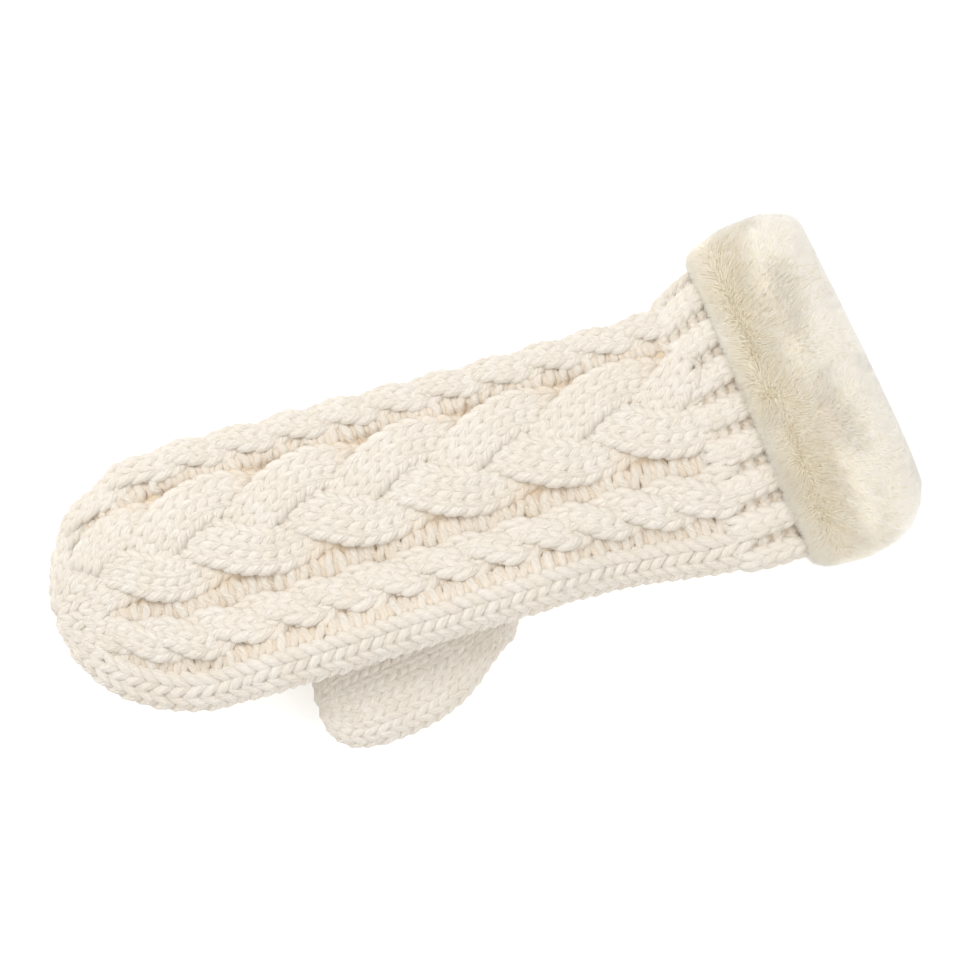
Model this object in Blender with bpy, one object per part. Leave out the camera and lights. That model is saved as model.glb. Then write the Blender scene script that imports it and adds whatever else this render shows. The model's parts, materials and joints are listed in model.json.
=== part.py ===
"""A right-hand cable-knit mitten with a fur cuff and a fleece lining, lying palm down.

+X runs from the fingertips to the cuff, the thumb is on the -Y side, +Z is up.
Every layer is a closed half shell around one flattened, slightly curved tube, so the
knit, the lining and the fur share the same outline and keep the same clearances.
"""

import math

import bmesh
import bpy
from mathutils import Matrix, Vector

# Overall outline of the hand, in metres. Stations are measured from the fingertips, and
# the sizes whose names end in TO_CUFF are distances back from the seam of the cuff.
HAND_WIDTH = 0.0938
HAND_THICK = 0.0280
CROWN_LENGTH = 0.0525
KNIT_LENGTH = 0.2560
WRIST_WIDTH = 0.0896
WRIST_TO_CUFF = 0.0710
RISE_TO_CUFF = 0.0510
FLARE_TO_CUFF = 0.0280
FLARE_WIDTH = 0.1048
FLARE_THICK = 0.0250
SECTION_POWER = 2.6
TIP_DROP = 0.28

# The cuff leans a little to the +Y side of the hand.
BEND_TO_CUFF = 0.0320
BEND_LENGTH = 0.0320
BEND_ANGLE = math.radians(7.5)

# Layers, from the outside in.
KNIT_WALL = 0.0062
LINING_WALL = 0.0021
BACKING_WALL = 0.0012
LINING_TIP_EASE = 0.0050
GAP = 0.0003

# Fur strip of the cuff.
CUFF_LENGTH = 0.0440
PILE = 0.0112
PILE_UNDER = 0.0060
PILE_EDGE = 0.0010
PILE_POWER = 3.2
ROLL_LENGTH = 0.0050
STEP = 0.00008
LINING_SETTLE = 0.0090
SEAM_INSET = 0.0020
HEM_INSET = 0.0015

# Thumb: a flattened tube on an arc that starts at its pivot.
THUMB_LENGTH = 0.0690
THUMB_WIDTH = 0.0392
THUMB_THICK = 0.0156
THUMB_ROOT_WIDTH = 0.0215
THUMB_ROOT_THICK = 0.0116
THUMB_CROWN = 0.0200
THUMB_WALL = 0.0037
THUMB_LINING = 0.0009
THUMB_PIVOT_STATION = 0.1475
THUMB_PIVOT_INSET = 0.0044
THUMB_HEADING = math.radians(23)
THUMB_POWER = 2.2
THUMB_SWELL = 0.0450

# The hand lies on its thumb, so this edge is lifted clear of it.
LIFT_BAND = 0.0180
LIFT_SHIFT = 0.0100
LIFT_SPARE = 0.0030
LIFT_RAMP = 0.0330
LIFT_LEAD = 0.0040

# Joints.
KNUCKLE_STATION = 0.0710
KNUCKLE_HEIGHT = 0.0100
CURL_DOWN = math.radians(60)
CURL_BACK = math.radians(10)
WRIST_JOINT_TO_CUFF = 0.0270
WRIST_FLEX = math.radians(20)
JOINT_GAP = 0.0008

# Thumb gusset and small parts.
GUSSET_LENGTH = 0.0190
GUSSET_INSET = 0.0030
GUSSET_REACH = 0.0170
GUSSET_WALL = 0.0030
GUSSET_GAP = 0.0012
THUMB_HOLE_RADIUS = 0.0060
THUMB_HOLE_INSET = 0.0095
THREAD_RADIUS = 0.00045
YARN_RADIUS = 0.0010
GATHER_RADIUS = 0.0016
THUMB_YARN_RADIUS = 0.0007
THUMB_GATHER_RADIUS = 0.0012

# Steps round each half, and rows of faces along each piece.
AROUND = 11
CROWN_ROWS = 7
FINGER_ROWS = 2
HAND_ROWS = 9
FLARE_ROWS = 4
LINING_ROWS = 5
FUR_ROWS = 9
BACKING_ROWS = 5
THUMB_CROWN_ROWS = 4
THUMB_ROWS = 6
LEAST_ROW = 0.0020

IVORY = (0.83, 0.78, 0.69)
FLEECE = (0.86, 0.82, 0.74)
FUR = (0.74, 0.68, 0.58)
SKIN = (0.70, 0.62, 0.50)
THREAD = (0.80, 0.75, 0.66)
BACK, PALM = 1, -1

COLLECTION = "cable_knit_mitten"
CUTTERS = "cutters"


def clear_scene():
    for obj in list(bpy.data.objects):
        bpy.data.objects.remove(obj, do_unlink=True)


def collection(name):
    made = bpy.data.collections.new(name)
    bpy.context.scene.collection.children.link(made)
    return made


def finish(name, colour, roughness):
    made = bpy.data.materials.new(name)
    made.use_nodes = True
    shader = made.node_tree.nodes["Principled BSDF"]
    shader.inputs["Base Color"].default_value = (*colour, 1.0)
    shader.inputs["Roughness"].default_value = roughness
    shader.inputs["Metallic"].default_value = 0.0
    made.diffuse_color = (*colour, 1.0)
    return made


def mix(low, high, part):
    return low + (high - low) * part


def smooth(value, low, high):
    """0 before low, 1 after high, and an even rise between them."""
    part = min(1.0, max(0.0, (value - low) / (high - low)))
    return part * part * (3.0 - 2.0 * part)


def power_arc(part, power):
    """Height of a superellipse of that power, 1 at part 0 and 0 at part 1."""
    return max(0.0, 1.0 - min(1.0, abs(part)) ** power) ** (1.0 / power)


# ---- places that follow from the sizes ----


def wrist_station():
    return KNIT_LENGTH - WRIST_TO_CUFF


def wrist_joint_station():
    return KNIT_LENGTH - WRIST_JOINT_TO_CUFF


def thumb_pivot_side():
    """How far the thumb's pivot is from the middle of the hand."""
    return 0.5 * HAND_WIDTH - THUMB_PIVOT_INSET


def thumb_pivot_point():
    return Vector((THUMB_PIVOT_STATION, -thumb_pivot_side(), 0.5 * THUMB_THICK))


# ---- the tube that the hand and the cuff are made around ----


def half_width(station, side):
    """Half width of the outer knit on the +Y side (1) or the thumb side (-1)."""
    flare_start = KNIT_LENGTH - FLARE_TO_CUFF if side > 0 else wrist_station()
    wrist = mix(HAND_WIDTH, WRIST_WIDTH, smooth(station, CROWN_LENGTH, wrist_station()))
    return 0.5 * mix(wrist, FLARE_WIDTH, smooth(station, flare_start, KNIT_LENGTH))


def half_thick(station):
    return 0.5 * mix(HAND_THICK, FLARE_THICK, smooth(station, wrist_station(), KNIT_LENGTH))


def middle_height(station):
    """Height of the tube's middle over the surface that it lies on."""
    crown = max(0.0, 1.0 - station / CROWN_LENGTH)
    hand = 0.5 * HAND_THICK * (1.0 - TIP_DROP * crown**2)
    cuff = 0.5 * FLARE_THICK + PILE_UNDER
    return mix(hand, cuff, smooth(station, KNIT_LENGTH - RISE_TO_CUFF, KNIT_LENGTH))


def spine(station):
    """Point and heading of the tube's middle line, seen from above."""
    start = KNIT_LENGTH - BEND_TO_CUFF
    bent = min(max(station - start, 0.0), BEND_LENGTH)
    turn = BEND_ANGLE * bent / BEND_LENGTH
    radius = BEND_LENGTH / BEND_ANGLE
    x = min(station, start) + radius * math.sin(turn)
    y = radius * (1.0 - math.cos(turn))
    rest = max(station - start - BEND_LENGTH, 0.0)
    return x + rest * math.cos(turn), y + rest * math.sin(turn), turn


def thumb_span():
    """Stations of the thumb's tip and of its pivot."""
    return THUMB_PIVOT_STATION - THUMB_LENGTH * math.cos(THUMB_HEADING / 2), THUMB_PIVOT_STATION


def edge_lift(station, side):
    """How far the thumb-side edge is lifted by the thumb below it.

    The lift is whole from the thumb's inner edge outwards, where its line bows outwards.
    """
    tip, root = thumb_span()
    along = smooth(station, tip - LIFT_RAMP, tip - LIFT_LEAD)
    along *= 1.0 - smooth(station, root + GUSSET_LENGTH, root + GUSSET_LENGTH + LIFT_RAMP)
    whole = thumb_pivot_side() + LIFT_SHIFT - 0.5 * THUMB_WIDTH
    height = THUMB_THICK - LIFT_SPARE
    return height * along * smooth(-side, whole - LIFT_BAND, whole)


def place(station, side, up):
    """A point given by station, distance to the +Y side and height over the middle."""
    x, y, turn = spine(station)
    height = up + middle_height(station) + edge_lift(station, side)
    return Vector((x - side * math.sin(turn), y + side * math.cos(turn), height))


def ring_point(wide, thick, angle, power=SECTION_POWER):
    across = wide * math.copysign(abs(math.cos(angle)) ** (2 / power), math.cos(angle))
    up = thick * math.copysign(abs(math.sin(angle)) ** (2 / power), math.sin(angle))
    return across, up


def tube_point(station, angle, depth):
    """Point of the tube's section, depth inside its outer surface, before it is placed."""
    side = 1 if math.cos(angle) >= 0 else -1
    return ring_point(half_width(station, side) - depth, half_thick(station) - depth, angle)


def crown_point(turn, angle, depth):
    """As tube_point, in the rounded fingertip end; turn runs from 0 at the tip to pi/2."""
    station = CROWN_LENGTH - (CROWN_LENGTH - depth) * math.cos(turn)
    wide = (0.5 * HAND_WIDTH - depth) * math.sin(turn)
    thick = (0.5 * HAND_THICK - depth) * math.sqrt(math.sin(turn))
    return station, ring_point(wide, thick, angle)


# ---- half shells ----


def angles(half, count=AROUND):
    start = 0.0 if half == BACK else math.pi
    return [start + math.pi * step / count for step in range(count + 1)]


def shell(name, outer, inner):
    """A closed solid between two grids of points. A first row of one point is a pole."""
    mesh = bpy.data.meshes.new(name)
    work = bmesh.new()
    grids = []
    for grid in (outer, inner):
        made = []
        for row in grid:
            verts = [work.verts.new(point) for point in row]
            made.append(verts if len(verts) > 1 else verts * len(grid[-1]))
        grids.append(made)
    out, inn = grids
    last = len(out[0]) - 1
    for row in range(len(out) - 1):
        for step in range(last):
            for grid in (out, inn):
                near, far = grid[row][step], grid[row + 1][step + 1]
                face(work, near, grid[row][step + 1], far)
                face(work, near, far, grid[row + 1][step])
        face(work, out[row][0], out[row + 1][0], inn[row + 1][0], inn[row][0])
        face(work, out[row][last], inn[row][last], inn[row + 1][last], out[row + 1][last])
    for row in (0, len(out) - 1):
        for step in range(last):
            face(work, out[row][step], inn[row][step], inn[row][step + 1], out[row][step + 1])
    bmesh.ops.recalc_face_normals(work, faces=work.faces)
    work.to_mesh(mesh)
    work.free()
    mesh.shade_smooth()
    mesh.set_sharp_from_angle(angle=math.radians(40))
    return bpy.data.objects.new(name, mesh)


def face(work, *verts):
    """A face on the distinct points among these, where there are three or more."""
    distinct = list(dict.fromkeys(verts))
    if len(distinct) > 2:
        work.faces.new(distinct)


def knuckle_cut(height, towards):
    """Station of the cut at the knuckles at a height, on the tip (-1) or the cuff (1) side."""
    rise = height - KNUCKLE_HEIGHT
    slope = math.tan(CURL_BACK / 2) if rise > 0 else math.tan(CURL_DOWN / 2)
    return KNUCKLE_STATION + towards * (JOINT_GAP / 2 + abs(rise) * slope)


def wrist_cut(height, towards):
    """As knuckle_cut, at the wrist, which bends as far either way."""
    rise = abs(height - middle_height(wrist_joint_station()))
    return wrist_joint_station() + towards * (JOINT_GAP / 2 + rise * math.tan(WRIST_FLEX / 2))


def square_cut(station):
    return lambda height: station


def tube_rows(half, depth, start, end, count):
    """Rows of points from one cut to the other; depth is a function of the station."""
    rows = []
    low, high = start(0.5 * HAND_THICK), end(0.5 * HAND_THICK)
    for step in range(count + 1):
        part = step / count
        row = []
        for angle in angles(half):
            station = mix(low, high, part)
            across, up = tube_point(station, angle, depth(station, angle))
            up += half * GAP / 2
            height = place(station, across, up).z
            station = mix(start(height), end(height), part)
            across, up = tube_point(station, angle, depth(station, angle))
            row.append(place(station, across, up + half * GAP / 2))
        rows.append(row)
    return rows


def finger_rows(half, depth, ease=0.0):
    """Rows from the tip's pole round the crown and on to the knuckles."""
    pole = place(depth + ease, 0.0, half * GAP / 2)
    rows = [[pole]]
    for step in range(1, CROWN_ROWS + 1):
        turn = 0.5 * math.pi * step / CROWN_ROWS
        row = []
        for angle in angles(half):
            station, (across, up) = crown_point(turn, angle, depth)
            station += ease * math.cos(turn)
            row.append(place(station, across, up + half * GAP / 2))
        rows.append(row)
    body = tube_rows(
        half,
        lambda station, angle: depth,
        square_cut(CROWN_LENGTH),
        lambda height: knuckle_cut(height, -1),
        FINGER_ROWS,
    )
    return rows + body[1:]


def finger_shell(name, half, depth, wall, ease=0.0):
    return shell(name, finger_rows(half, depth, ease), finger_rows(half, depth + wall, ease))


def hand_shell(name, half, depth, wall):
    def rows(at):
        return tube_rows(
            half,
            lambda station, angle: at,
            lambda height: knuckle_cut(height, 1),
            lambda height: wrist_cut(height, -1),
            HAND_ROWS,
        )

    return shell(name, rows(depth), rows(depth + wall))


def flare_shell(name, half):
    def rows(at):
        return tube_rows(
            half,
            lambda station, angle: at,
            lambda height: wrist_cut(height, 1),
            square_cut(KNIT_LENGTH),
            FLARE_ROWS,
        )

    return shell(name, rows(0.0), rows(KNIT_WALL))


def lining_depth(station):
    """The lining lies against the knit, then steps out against the fur's backing."""
    return mix(
        KNIT_WALL + GAP,
        BACKING_WALL + 2 * GAP,
        smooth(station, KNIT_LENGTH + 2 * GAP, KNIT_LENGTH + LINING_SETTLE),
    )


def wrist_lining_shell(name, half):
    """In two runs that meet where the knit ends and the lining starts to step out."""
    settle = square_cut(KNIT_LENGTH + 2 * GAP)
    runs = ((lambda height: wrist_cut(height, 1), settle), (settle, square_cut(lining_end())))

    def rows(extra):
        def depth(station, angle):
            return lining_depth(station) + extra

        under_knit, under_fur = (tube_rows(half, depth, *run, LINING_ROWS) for run in runs)
        return under_knit + under_fur[1:]

    return shell(name, rows(0.0), rows(LINING_WALL))


def cuff_start():
    return KNIT_LENGTH + GAP


def cuff_end():
    return KNIT_LENGTH + CUFF_LENGTH


def lining_end():
    return cuff_end() - ROLL_LENGTH - GAP


def pile_depth(station, angle):
    """Depth of the fur's outer surface: it stands outside the tube, less so underneath."""
    full = mix(PILE, PILE_UNDER, max(0.0, -math.sin(angle)))
    part = 2.0 * (station - cuff_start()) / (cuff_end() - cuff_start()) - 1.0
    return -(PILE_EDGE + (full - PILE_EDGE) * power_arc(part, PILE_POWER))


def cuff_stations(start, end, count):
    """Stations that crowd towards both rounded ends of the fur."""
    return [mix(start, end, 0.5 - 0.5 * math.cos(math.pi * n / count)) for n in range(count + 1)]


def fur_shell(name, half):
    roll = lining_end() + GAP + STEP
    stations = cuff_stations(cuff_start(), cuff_end(), FUR_ROWS)
    stations = sorted({*(s for s in stations if abs(s - roll) > LEAST_ROW), roll - STEP, roll})
    roll_depth = BACKING_WALL + LINING_WALL + 2 * GAP
    outer, inner = [], []
    for station in stations:
        grid_row, core_row = [], []
        for angle in angles(half):
            across, up = tube_point(station, angle, pile_depth(station, angle))
            grid_row.append(place(station, across, up + half * GAP / 2))
            across, up = tube_point(station, angle, roll_depth if station >= roll else 0.0)
            core_row.append(place(station, across, up + half * GAP / 2))
        outer.append(grid_row)
        inner.append(core_row)
    return shell(name, outer, inner)


def backing_shell(name, half):
    def rows(at):
        return tube_rows(
            half,
            lambda station, angle: at,
            square_cut(cuff_start()),
            square_cut(lining_end() - 2 * GAP),
            BACKING_ROWS,
        )

    return shell(name, rows(GAP), rows(GAP + BACKING_WALL))


def thread_ring(name, station, depth):
    """A closed thread that runs round the tube at one station."""
    curve = bpy.data.curves.new(name, "CURVE")
    curve.dimensions = "3D"
    curve.bevel_depth = THREAD_RADIUS
    curve.bevel_resolution = 1
    spline = curve.splines.new("POLY")
    count = 2 * AROUND
    spline.points.add(count - 1)
    for step in range(count):
        across, up = tube_point(station, 2 * math.pi * step / count, depth)
        spline.points[step].co = (*place(station, across, up), 1.0)
    spline.use_cyclic_u = True
    return bpy.data.objects.new(name, curve)


# ---- thumb ----


def thumb_half(along, depth):
    """Half width and half thickness of the thumb, along its line from the pivot."""
    swell = smooth(along, 0.0, THUMB_SWELL)
    wide = 0.5 * mix(THUMB_ROOT_WIDTH, THUMB_WIDTH, swell) - depth
    thick = 0.5 * mix(THUMB_ROOT_THICK, THUMB_THICK, swell) - depth
    part = max(0.0, (along - THUMB_LENGTH + THUMB_CROWN) / (THUMB_CROWN - depth))
    round_off = power_arc(part, THUMB_POWER)
    return wide * round_off, thick * math.sqrt(round_off)


def place_thumb(along, side, up):
    """A thumb point: distance from the pivot, distance to the inner (+) side, height."""
    turn = THUMB_HEADING * along / THUMB_LENGTH
    radius = THUMB_LENGTH / THUMB_HEADING
    heading = THUMB_HEADING - turn
    x = THUMB_PIVOT_STATION - radius * (math.sin(THUMB_HEADING) - math.sin(heading))
    y = -thumb_pivot_side() - radius * (math.cos(heading) - math.cos(THUMB_HEADING))
    x -= side * math.sin(heading)
    y += side * math.cos(heading)
    return Vector((x, y, up + 0.5 * THUMB_THICK))


def thumb_crown(depth, ease):
    """Rows of the rounded end. The lining keeps to those of the knit's inner side."""
    reach = THUMB_CROWN - (THUMB_WALL if ease else depth)
    turn = 0.5 * math.pi / (THUMB_CROWN_ROWS + 1)
    rows = [reach * math.cos(turn * n) for n in range(1, THUMB_CROWN_ROWS + 1)]
    lining_tip = reach - GAP - THUMB_LINING - ease
    return [THUMB_LENGTH - THUMB_CROWN + row for row in rows if not ease or row < lining_tip]


def thumb_rows(half, depth, ease=0.0):
    """Rows from the tip's pole to the root, which is round about the pivot."""
    rows = [[place_thumb(THUMB_LENGTH - depth - ease, 0.0, half * GAP / 2)]]
    bow = 0.5 * THUMB_ROOT_WIDTH
    straight = THUMB_LENGTH - THUMB_CROWN
    sleeve = [straight * n / THUMB_ROWS for n in range(THUMB_ROWS, -1, -1)]
    for along in thumb_crown(depth, ease) + sleeve:
        row = []
        wide, thick = thumb_half(along, depth)
        for angle in angles(half):
            side, up = ring_point(wide, thick, angle)
            back = math.sqrt(max(0.0, bow**2 - side**2)) * max(0.0, 1.0 - along / straight)
            row.append(place_thumb(along - back, side, up + half * GAP / 2))
        rows.append(row)
    return rows


def thumb_shell(name, half, depth, wall, ease=0.0):
    return shell(name, thumb_rows(half, depth, ease), thumb_rows(half, depth + wall, ease))


# ---- gusset, thumb hole and gathers ----


def add_cutter(obj, group):
    obj.hide_render = True
    obj.display_type = "WIRE"
    group.objects.link(obj)
    return obj


def box_object(name, low, high):
    mesh = bpy.data.meshes.new(name)
    work = bmesh.new()
    bmesh.ops.create_cube(work, size=1.0)
    size = [b - a for a, b in zip(low, high)]
    middle = [(a + b) / 2 for a, b in zip(low, high)]
    bmesh.ops.scale(work, vec=size, verts=work.verts)
    bmesh.ops.translate(work, vec=middle, verts=work.verts)
    work.to_mesh(mesh)
    work.free()
    return bpy.data.objects.new(name, mesh)


def post_object(name, centre, radius, height, segments=24):
    mesh = bpy.data.meshes.new(name)
    work = bmesh.new()
    bmesh.ops.create_cone(
        work,
        cap_ends=True,
        segments=segments,
        radius1=radius,
        radius2=radius,
        depth=height,
        matrix=Matrix.Translation(centre),
    )
    work.to_mesh(mesh)
    work.free()
    return bpy.data.objects.new(name, mesh)


def torus_object(name, centre, ring, tube):
    bpy.ops.mesh.primitive_torus_add(
        major_radius=ring,
        minor_radius=tube,
        major_segments=16,
        minor_segments=8,
        location=centre,
        rotation=(0.0, math.pi / 2, 0.0),
    )
    made = bpy.context.object
    made.name = name
    for group in list(made.users_collection):
        group.objects.unlink(made)
    made.data.shade_smooth()
    return made


def hand_body_cutter(name):
    """The outside of the hand, grown by the clearance, as one closed solid."""
    rows = []
    for half in (BACK, PALM):
        rows.append(
            tube_rows(
                half,
                lambda station, angle: -GUSSET_GAP,
                square_cut(THUMB_PIVOT_STATION - THUMB_ROOT_WIDTH),
                square_cut(THUMB_PIVOT_STATION + THUMB_ROOT_WIDTH + 1.5 * GUSSET_LENGTH),
                HAND_ROWS,
            )
        )
    mesh = bpy.data.meshes.new(name)
    work = bmesh.new()
    loops = [[work.verts.new(p) for p in upper + lower] for upper, lower in zip(*rows)]
    for first, second in zip(loops, loops[1:]):
        for step in range(len(first)):
            after = (step + 1) % len(first)
            work.faces.new((first[step], first[after], second[after], second[step]))
    work.faces.new(loops[0])
    work.faces.new(loops[-1])
    bmesh.ops.recalc_face_normals(work, faces=work.faces)
    work.to_mesh(mesh)
    work.free()
    return bpy.data.objects.new(name, mesh)


def cut(target, cutter):
    modifier = target.modifiers.new("cut_" + cutter.name, "BOOLEAN")
    modifier.operation = "DIFFERENCE"
    modifier.solver = "EXACT"
    modifier.object = cutter


def thumb_hole_centre():
    return Vector(
        (
            THUMB_PIVOT_STATION + 0.5 * THUMB_ROOT_WIDTH + 0.5 * GUSSET_LENGTH,
            -thumb_pivot_side() + THUMB_HOLE_INSET,
            0.5 * HAND_THICK,
        )
    )


def gusset_object(cutters):
    """A scoop under the lifted edge: open towards the thumb and up into the palm."""
    start = THUMB_PIVOT_STATION
    end = start + 0.5 * THUMB_ROOT_WIDTH + GUSSET_LENGTH
    outer_side = -0.5 * HAND_WIDTH + GUSSET_INSET
    low = (start + 2 * GAP, outer_side, 2 * GAP)
    high = (end, outer_side + GUSSET_REACH, 0.5 * (HAND_THICK + THUMB_THICK))
    made = box_object("thumb_gusset_knit", low, high)
    hollow_low = (start - GUSSET_WALL, low[1] + GUSSET_WALL, low[2] + GUSSET_WALL)
    hollow_high = (end - GUSSET_WALL, high[1] - GUSSET_WALL, 2 * HAND_THICK)
    sweep = post_object(
        "thumb_sweep",
        thumb_pivot_point(),
        0.5 * THUMB_ROOT_WIDTH + 2 * GAP,
        4 * THUMB_THICK,
        32,
    )
    cut(made, add_cutter(hand_body_cutter("hand_outside"), cutters))
    cut(made, add_cutter(box_object("gusset_hollow", hollow_low, hollow_high), cutters))
    cut(made, add_cutter(sweep, cutters))
    return made


# ---- assembly ----


def pivot_empty(name, location, parent):
    made = bpy.data.objects.new(name, None)
    made.empty_display_size = 0.02
    made.location = location - parent.location
    made.parent = parent
    return made


def keep(obj, parts, parent, colour, roughness):
    """Links a piece, hangs it on its pivot and gives it its finish."""
    parts.objects.link(obj)
    obj.data.materials.clear()
    obj.data.materials.append(finish(obj.name, colour, roughness))
    obj.parent = parent
    obj.matrix_parent_inverse = Matrix.Translation(-pivot_point(parent))


def pivot_point(empty):
    point = Vector(empty.location)
    while empty.parent:
        empty = empty.parent
        point += empty.location
    return point


def world_box(parts):
    """Lowest and highest corner of all the parts."""
    bpy.context.view_layer.update()
    graph = bpy.context.evaluated_depsgraph_get()
    points = []
    for obj in parts.objects:
        if obj.type == "EMPTY":
            continue
        solid = obj.evaluated_get(graph)
        mesh = solid.to_mesh()
        points += [solid.matrix_world @ vert.co for vert in mesh.vertices]
        solid.to_mesh_clear()
    low = [min(point[axis] for point in points) for axis in range(3)]
    high = [max(point[axis] for point in points) for axis in range(3)]
    return low, high


def build():
    clear_scene()
    parts = collection(COLLECTION)
    cutters = collection(CUTTERS)
    cutters.hide_render = True

    root = bpy.data.objects.new("hand_pivot", None)
    x, y, turn = spine(wrist_joint_station())
    wrist = Vector((x, y, middle_height(wrist_joint_station())))
    knuckle = Vector((KNUCKLE_STATION, 0.0, KNUCKLE_HEIGHT))
    fingers_pivot = pivot_empty("fingers_pivot", knuckle, root)
    cuff_pivot = pivot_empty("cuff_pivot", wrist, root)
    thumb_pivot = pivot_empty("thumb_pivot", thumb_pivot_point(), root)
    for empty in (root, fingers_pivot, cuff_pivot, thumb_pivot):
        parts.objects.link(empty)

    inner = KNIT_WALL + GAP
    for side, half in (("back", BACK), ("palm", PALM)):
        keep(finger_shell(f"finger_{side}_knit", half, 0.0, KNIT_WALL), parts, fingers_pivot, IVORY, 0.9)
        lining = finger_shell(f"finger_lining_{side}", half, inner, LINING_WALL, LINING_TIP_EASE)
        keep(lining, parts, fingers_pivot, FLEECE, 1.0)
        knit = hand_shell(f"hand_{side}_knit", half, 0.0, KNIT_WALL)
        keep(knit, parts, root, IVORY, 0.9)
        fleece = hand_shell(f"hand_lining_{side}", half, inner, LINING_WALL)
        keep(fleece, parts, root, FLEECE, 1.0)
        keep(flare_shell(f"wrist_{side}_knit", half), parts, cuff_pivot, IVORY, 0.9)
        keep(wrist_lining_shell(f"wrist_lining_{side}", half), parts, cuff_pivot, FLEECE, 1.0)
        keep(fur_shell(f"fur_{side}", half), parts, cuff_pivot, FUR, 1.0)
        keep(backing_shell(f"fur_backing_{side}", half), parts, cuff_pivot, SKIN, 0.8)
        keep(thumb_shell(f"thumb_{side}_knit", half, 0.0, THUMB_WALL), parts, thumb_pivot, IVORY, 0.9)
        sleeve = thumb_shell(f"thumb_lining_{side}", half, THUMB_WALL + GAP, THUMB_LINING, LINING_TIP_EASE)
        keep(sleeve, parts, thumb_pivot, FLEECE, 1.0)
        if half == PALM:
            hole = post_object(
                "thumb_hole", thumb_hole_centre(), THUMB_HOLE_RADIUS, 1.2 * HAND_THICK
            )
            add_cutter(hole, cutters)
            cut(knit, hole)
            cut(fleece, hole)

    keep(gusset_object(cutters), parts, root, IVORY, 0.9)
    seam_depth = -(THREAD_RADIUS + 2 * GAP)
    seam = thread_ring("cuff_seam_thread", KNIT_LENGTH - SEAM_INSET, seam_depth)
    keep(seam, parts, cuff_pivot, THREAD, 0.8)
    hem_depth = lining_depth(lining_end()) + LINING_WALL + THREAD_RADIUS + 2 * GAP
    hem = thread_ring("mouth_seam_thread", lining_end() - HEM_INSET, hem_depth)
    keep(hem, parts, cuff_pivot, THREAD, 0.8)

    tip = place(KNIT_WALL + 2 * YARN_RADIUS + GAP, 0.0, 0.0)
    gather = torus_object("fingertip_gather", tip, GATHER_RADIUS, YARN_RADIUS)
    keep(gather, parts, fingers_pivot, IVORY, 0.9)
    tip = place_thumb(THUMB_LENGTH - THUMB_WALL - 2 * THUMB_YARN_RADIUS - GAP, 0.0, 0.0)
    gather = torus_object("thumb_tip_gather", tip, THUMB_GATHER_RADIUS, THUMB_YARN_RADIUS)
    keep(gather, parts, thumb_pivot, IVORY, 0.9)

    for cutter in cutters.objects:
        cutter.parent = root
    low, high = world_box(parts)
    root.location = (-(low[0] + high[0]) / 2, -(low[1] + high[1]) / 2, -low[2])
    bpy.context.view_layer.update()
    print("size", [round(b - a, 5) for a, b in zip(low, high)])
    for empty in (fingers_pivot, cuff_pivot, thumb_pivot):
        print(empty.name, [round(value, 6) for value in empty.matrix_world.translation])
    print("cuff axis", round(-math.sin(turn), 6), round(math.cos(turn), 6))


build()
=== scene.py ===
# %% [markdown]
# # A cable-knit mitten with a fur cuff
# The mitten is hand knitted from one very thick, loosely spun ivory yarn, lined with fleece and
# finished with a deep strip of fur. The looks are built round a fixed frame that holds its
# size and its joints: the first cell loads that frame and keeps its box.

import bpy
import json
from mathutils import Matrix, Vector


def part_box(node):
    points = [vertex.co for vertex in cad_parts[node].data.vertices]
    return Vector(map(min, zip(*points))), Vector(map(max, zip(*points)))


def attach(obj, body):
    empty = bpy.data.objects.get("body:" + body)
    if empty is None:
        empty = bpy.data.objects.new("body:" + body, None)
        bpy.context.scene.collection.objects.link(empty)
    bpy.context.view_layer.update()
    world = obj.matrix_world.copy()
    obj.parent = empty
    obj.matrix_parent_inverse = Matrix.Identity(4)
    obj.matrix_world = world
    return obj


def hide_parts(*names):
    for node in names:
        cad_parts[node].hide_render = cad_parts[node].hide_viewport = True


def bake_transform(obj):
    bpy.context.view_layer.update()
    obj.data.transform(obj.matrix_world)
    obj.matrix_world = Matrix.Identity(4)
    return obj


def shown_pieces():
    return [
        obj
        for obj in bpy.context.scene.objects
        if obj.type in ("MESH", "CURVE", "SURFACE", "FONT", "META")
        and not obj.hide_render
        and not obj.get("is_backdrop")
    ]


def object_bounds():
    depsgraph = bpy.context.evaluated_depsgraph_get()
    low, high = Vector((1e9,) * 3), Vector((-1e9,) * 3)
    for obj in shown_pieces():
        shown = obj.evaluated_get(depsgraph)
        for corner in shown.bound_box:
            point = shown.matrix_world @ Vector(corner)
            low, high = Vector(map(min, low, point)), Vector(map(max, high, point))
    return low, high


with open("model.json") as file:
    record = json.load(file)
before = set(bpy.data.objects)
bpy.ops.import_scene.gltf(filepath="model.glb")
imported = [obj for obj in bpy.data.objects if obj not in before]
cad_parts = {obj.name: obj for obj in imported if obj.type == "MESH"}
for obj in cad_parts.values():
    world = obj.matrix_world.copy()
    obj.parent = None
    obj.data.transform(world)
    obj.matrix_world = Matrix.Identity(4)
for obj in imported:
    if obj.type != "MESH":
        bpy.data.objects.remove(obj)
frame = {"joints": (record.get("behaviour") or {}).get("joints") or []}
FRAME_BOX = [list(corner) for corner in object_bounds()]

import json
import math

import bmesh
import bpy
import numpy as np
from mathutils import Vector

bpy.ops.object.select_all(action="DESELECT")
JOINTS = {joint["name"]: Vector(joint["pos_m"]) for joint in frame["joints"]}
MM = 0.001
print("frame box, mm:", [[round(value / MM, 1) for value in corner] for corner in FRAME_BOX])

# %% [markdown]
# ## The camera and the light
# The mitten lies flat and is looked at from straight above through a long lens, turned so that
# the fingers point down to the left. A long lens keeps the outline as true as a drawing. The
# camera is made first, because everything after it is judged through it.

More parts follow.
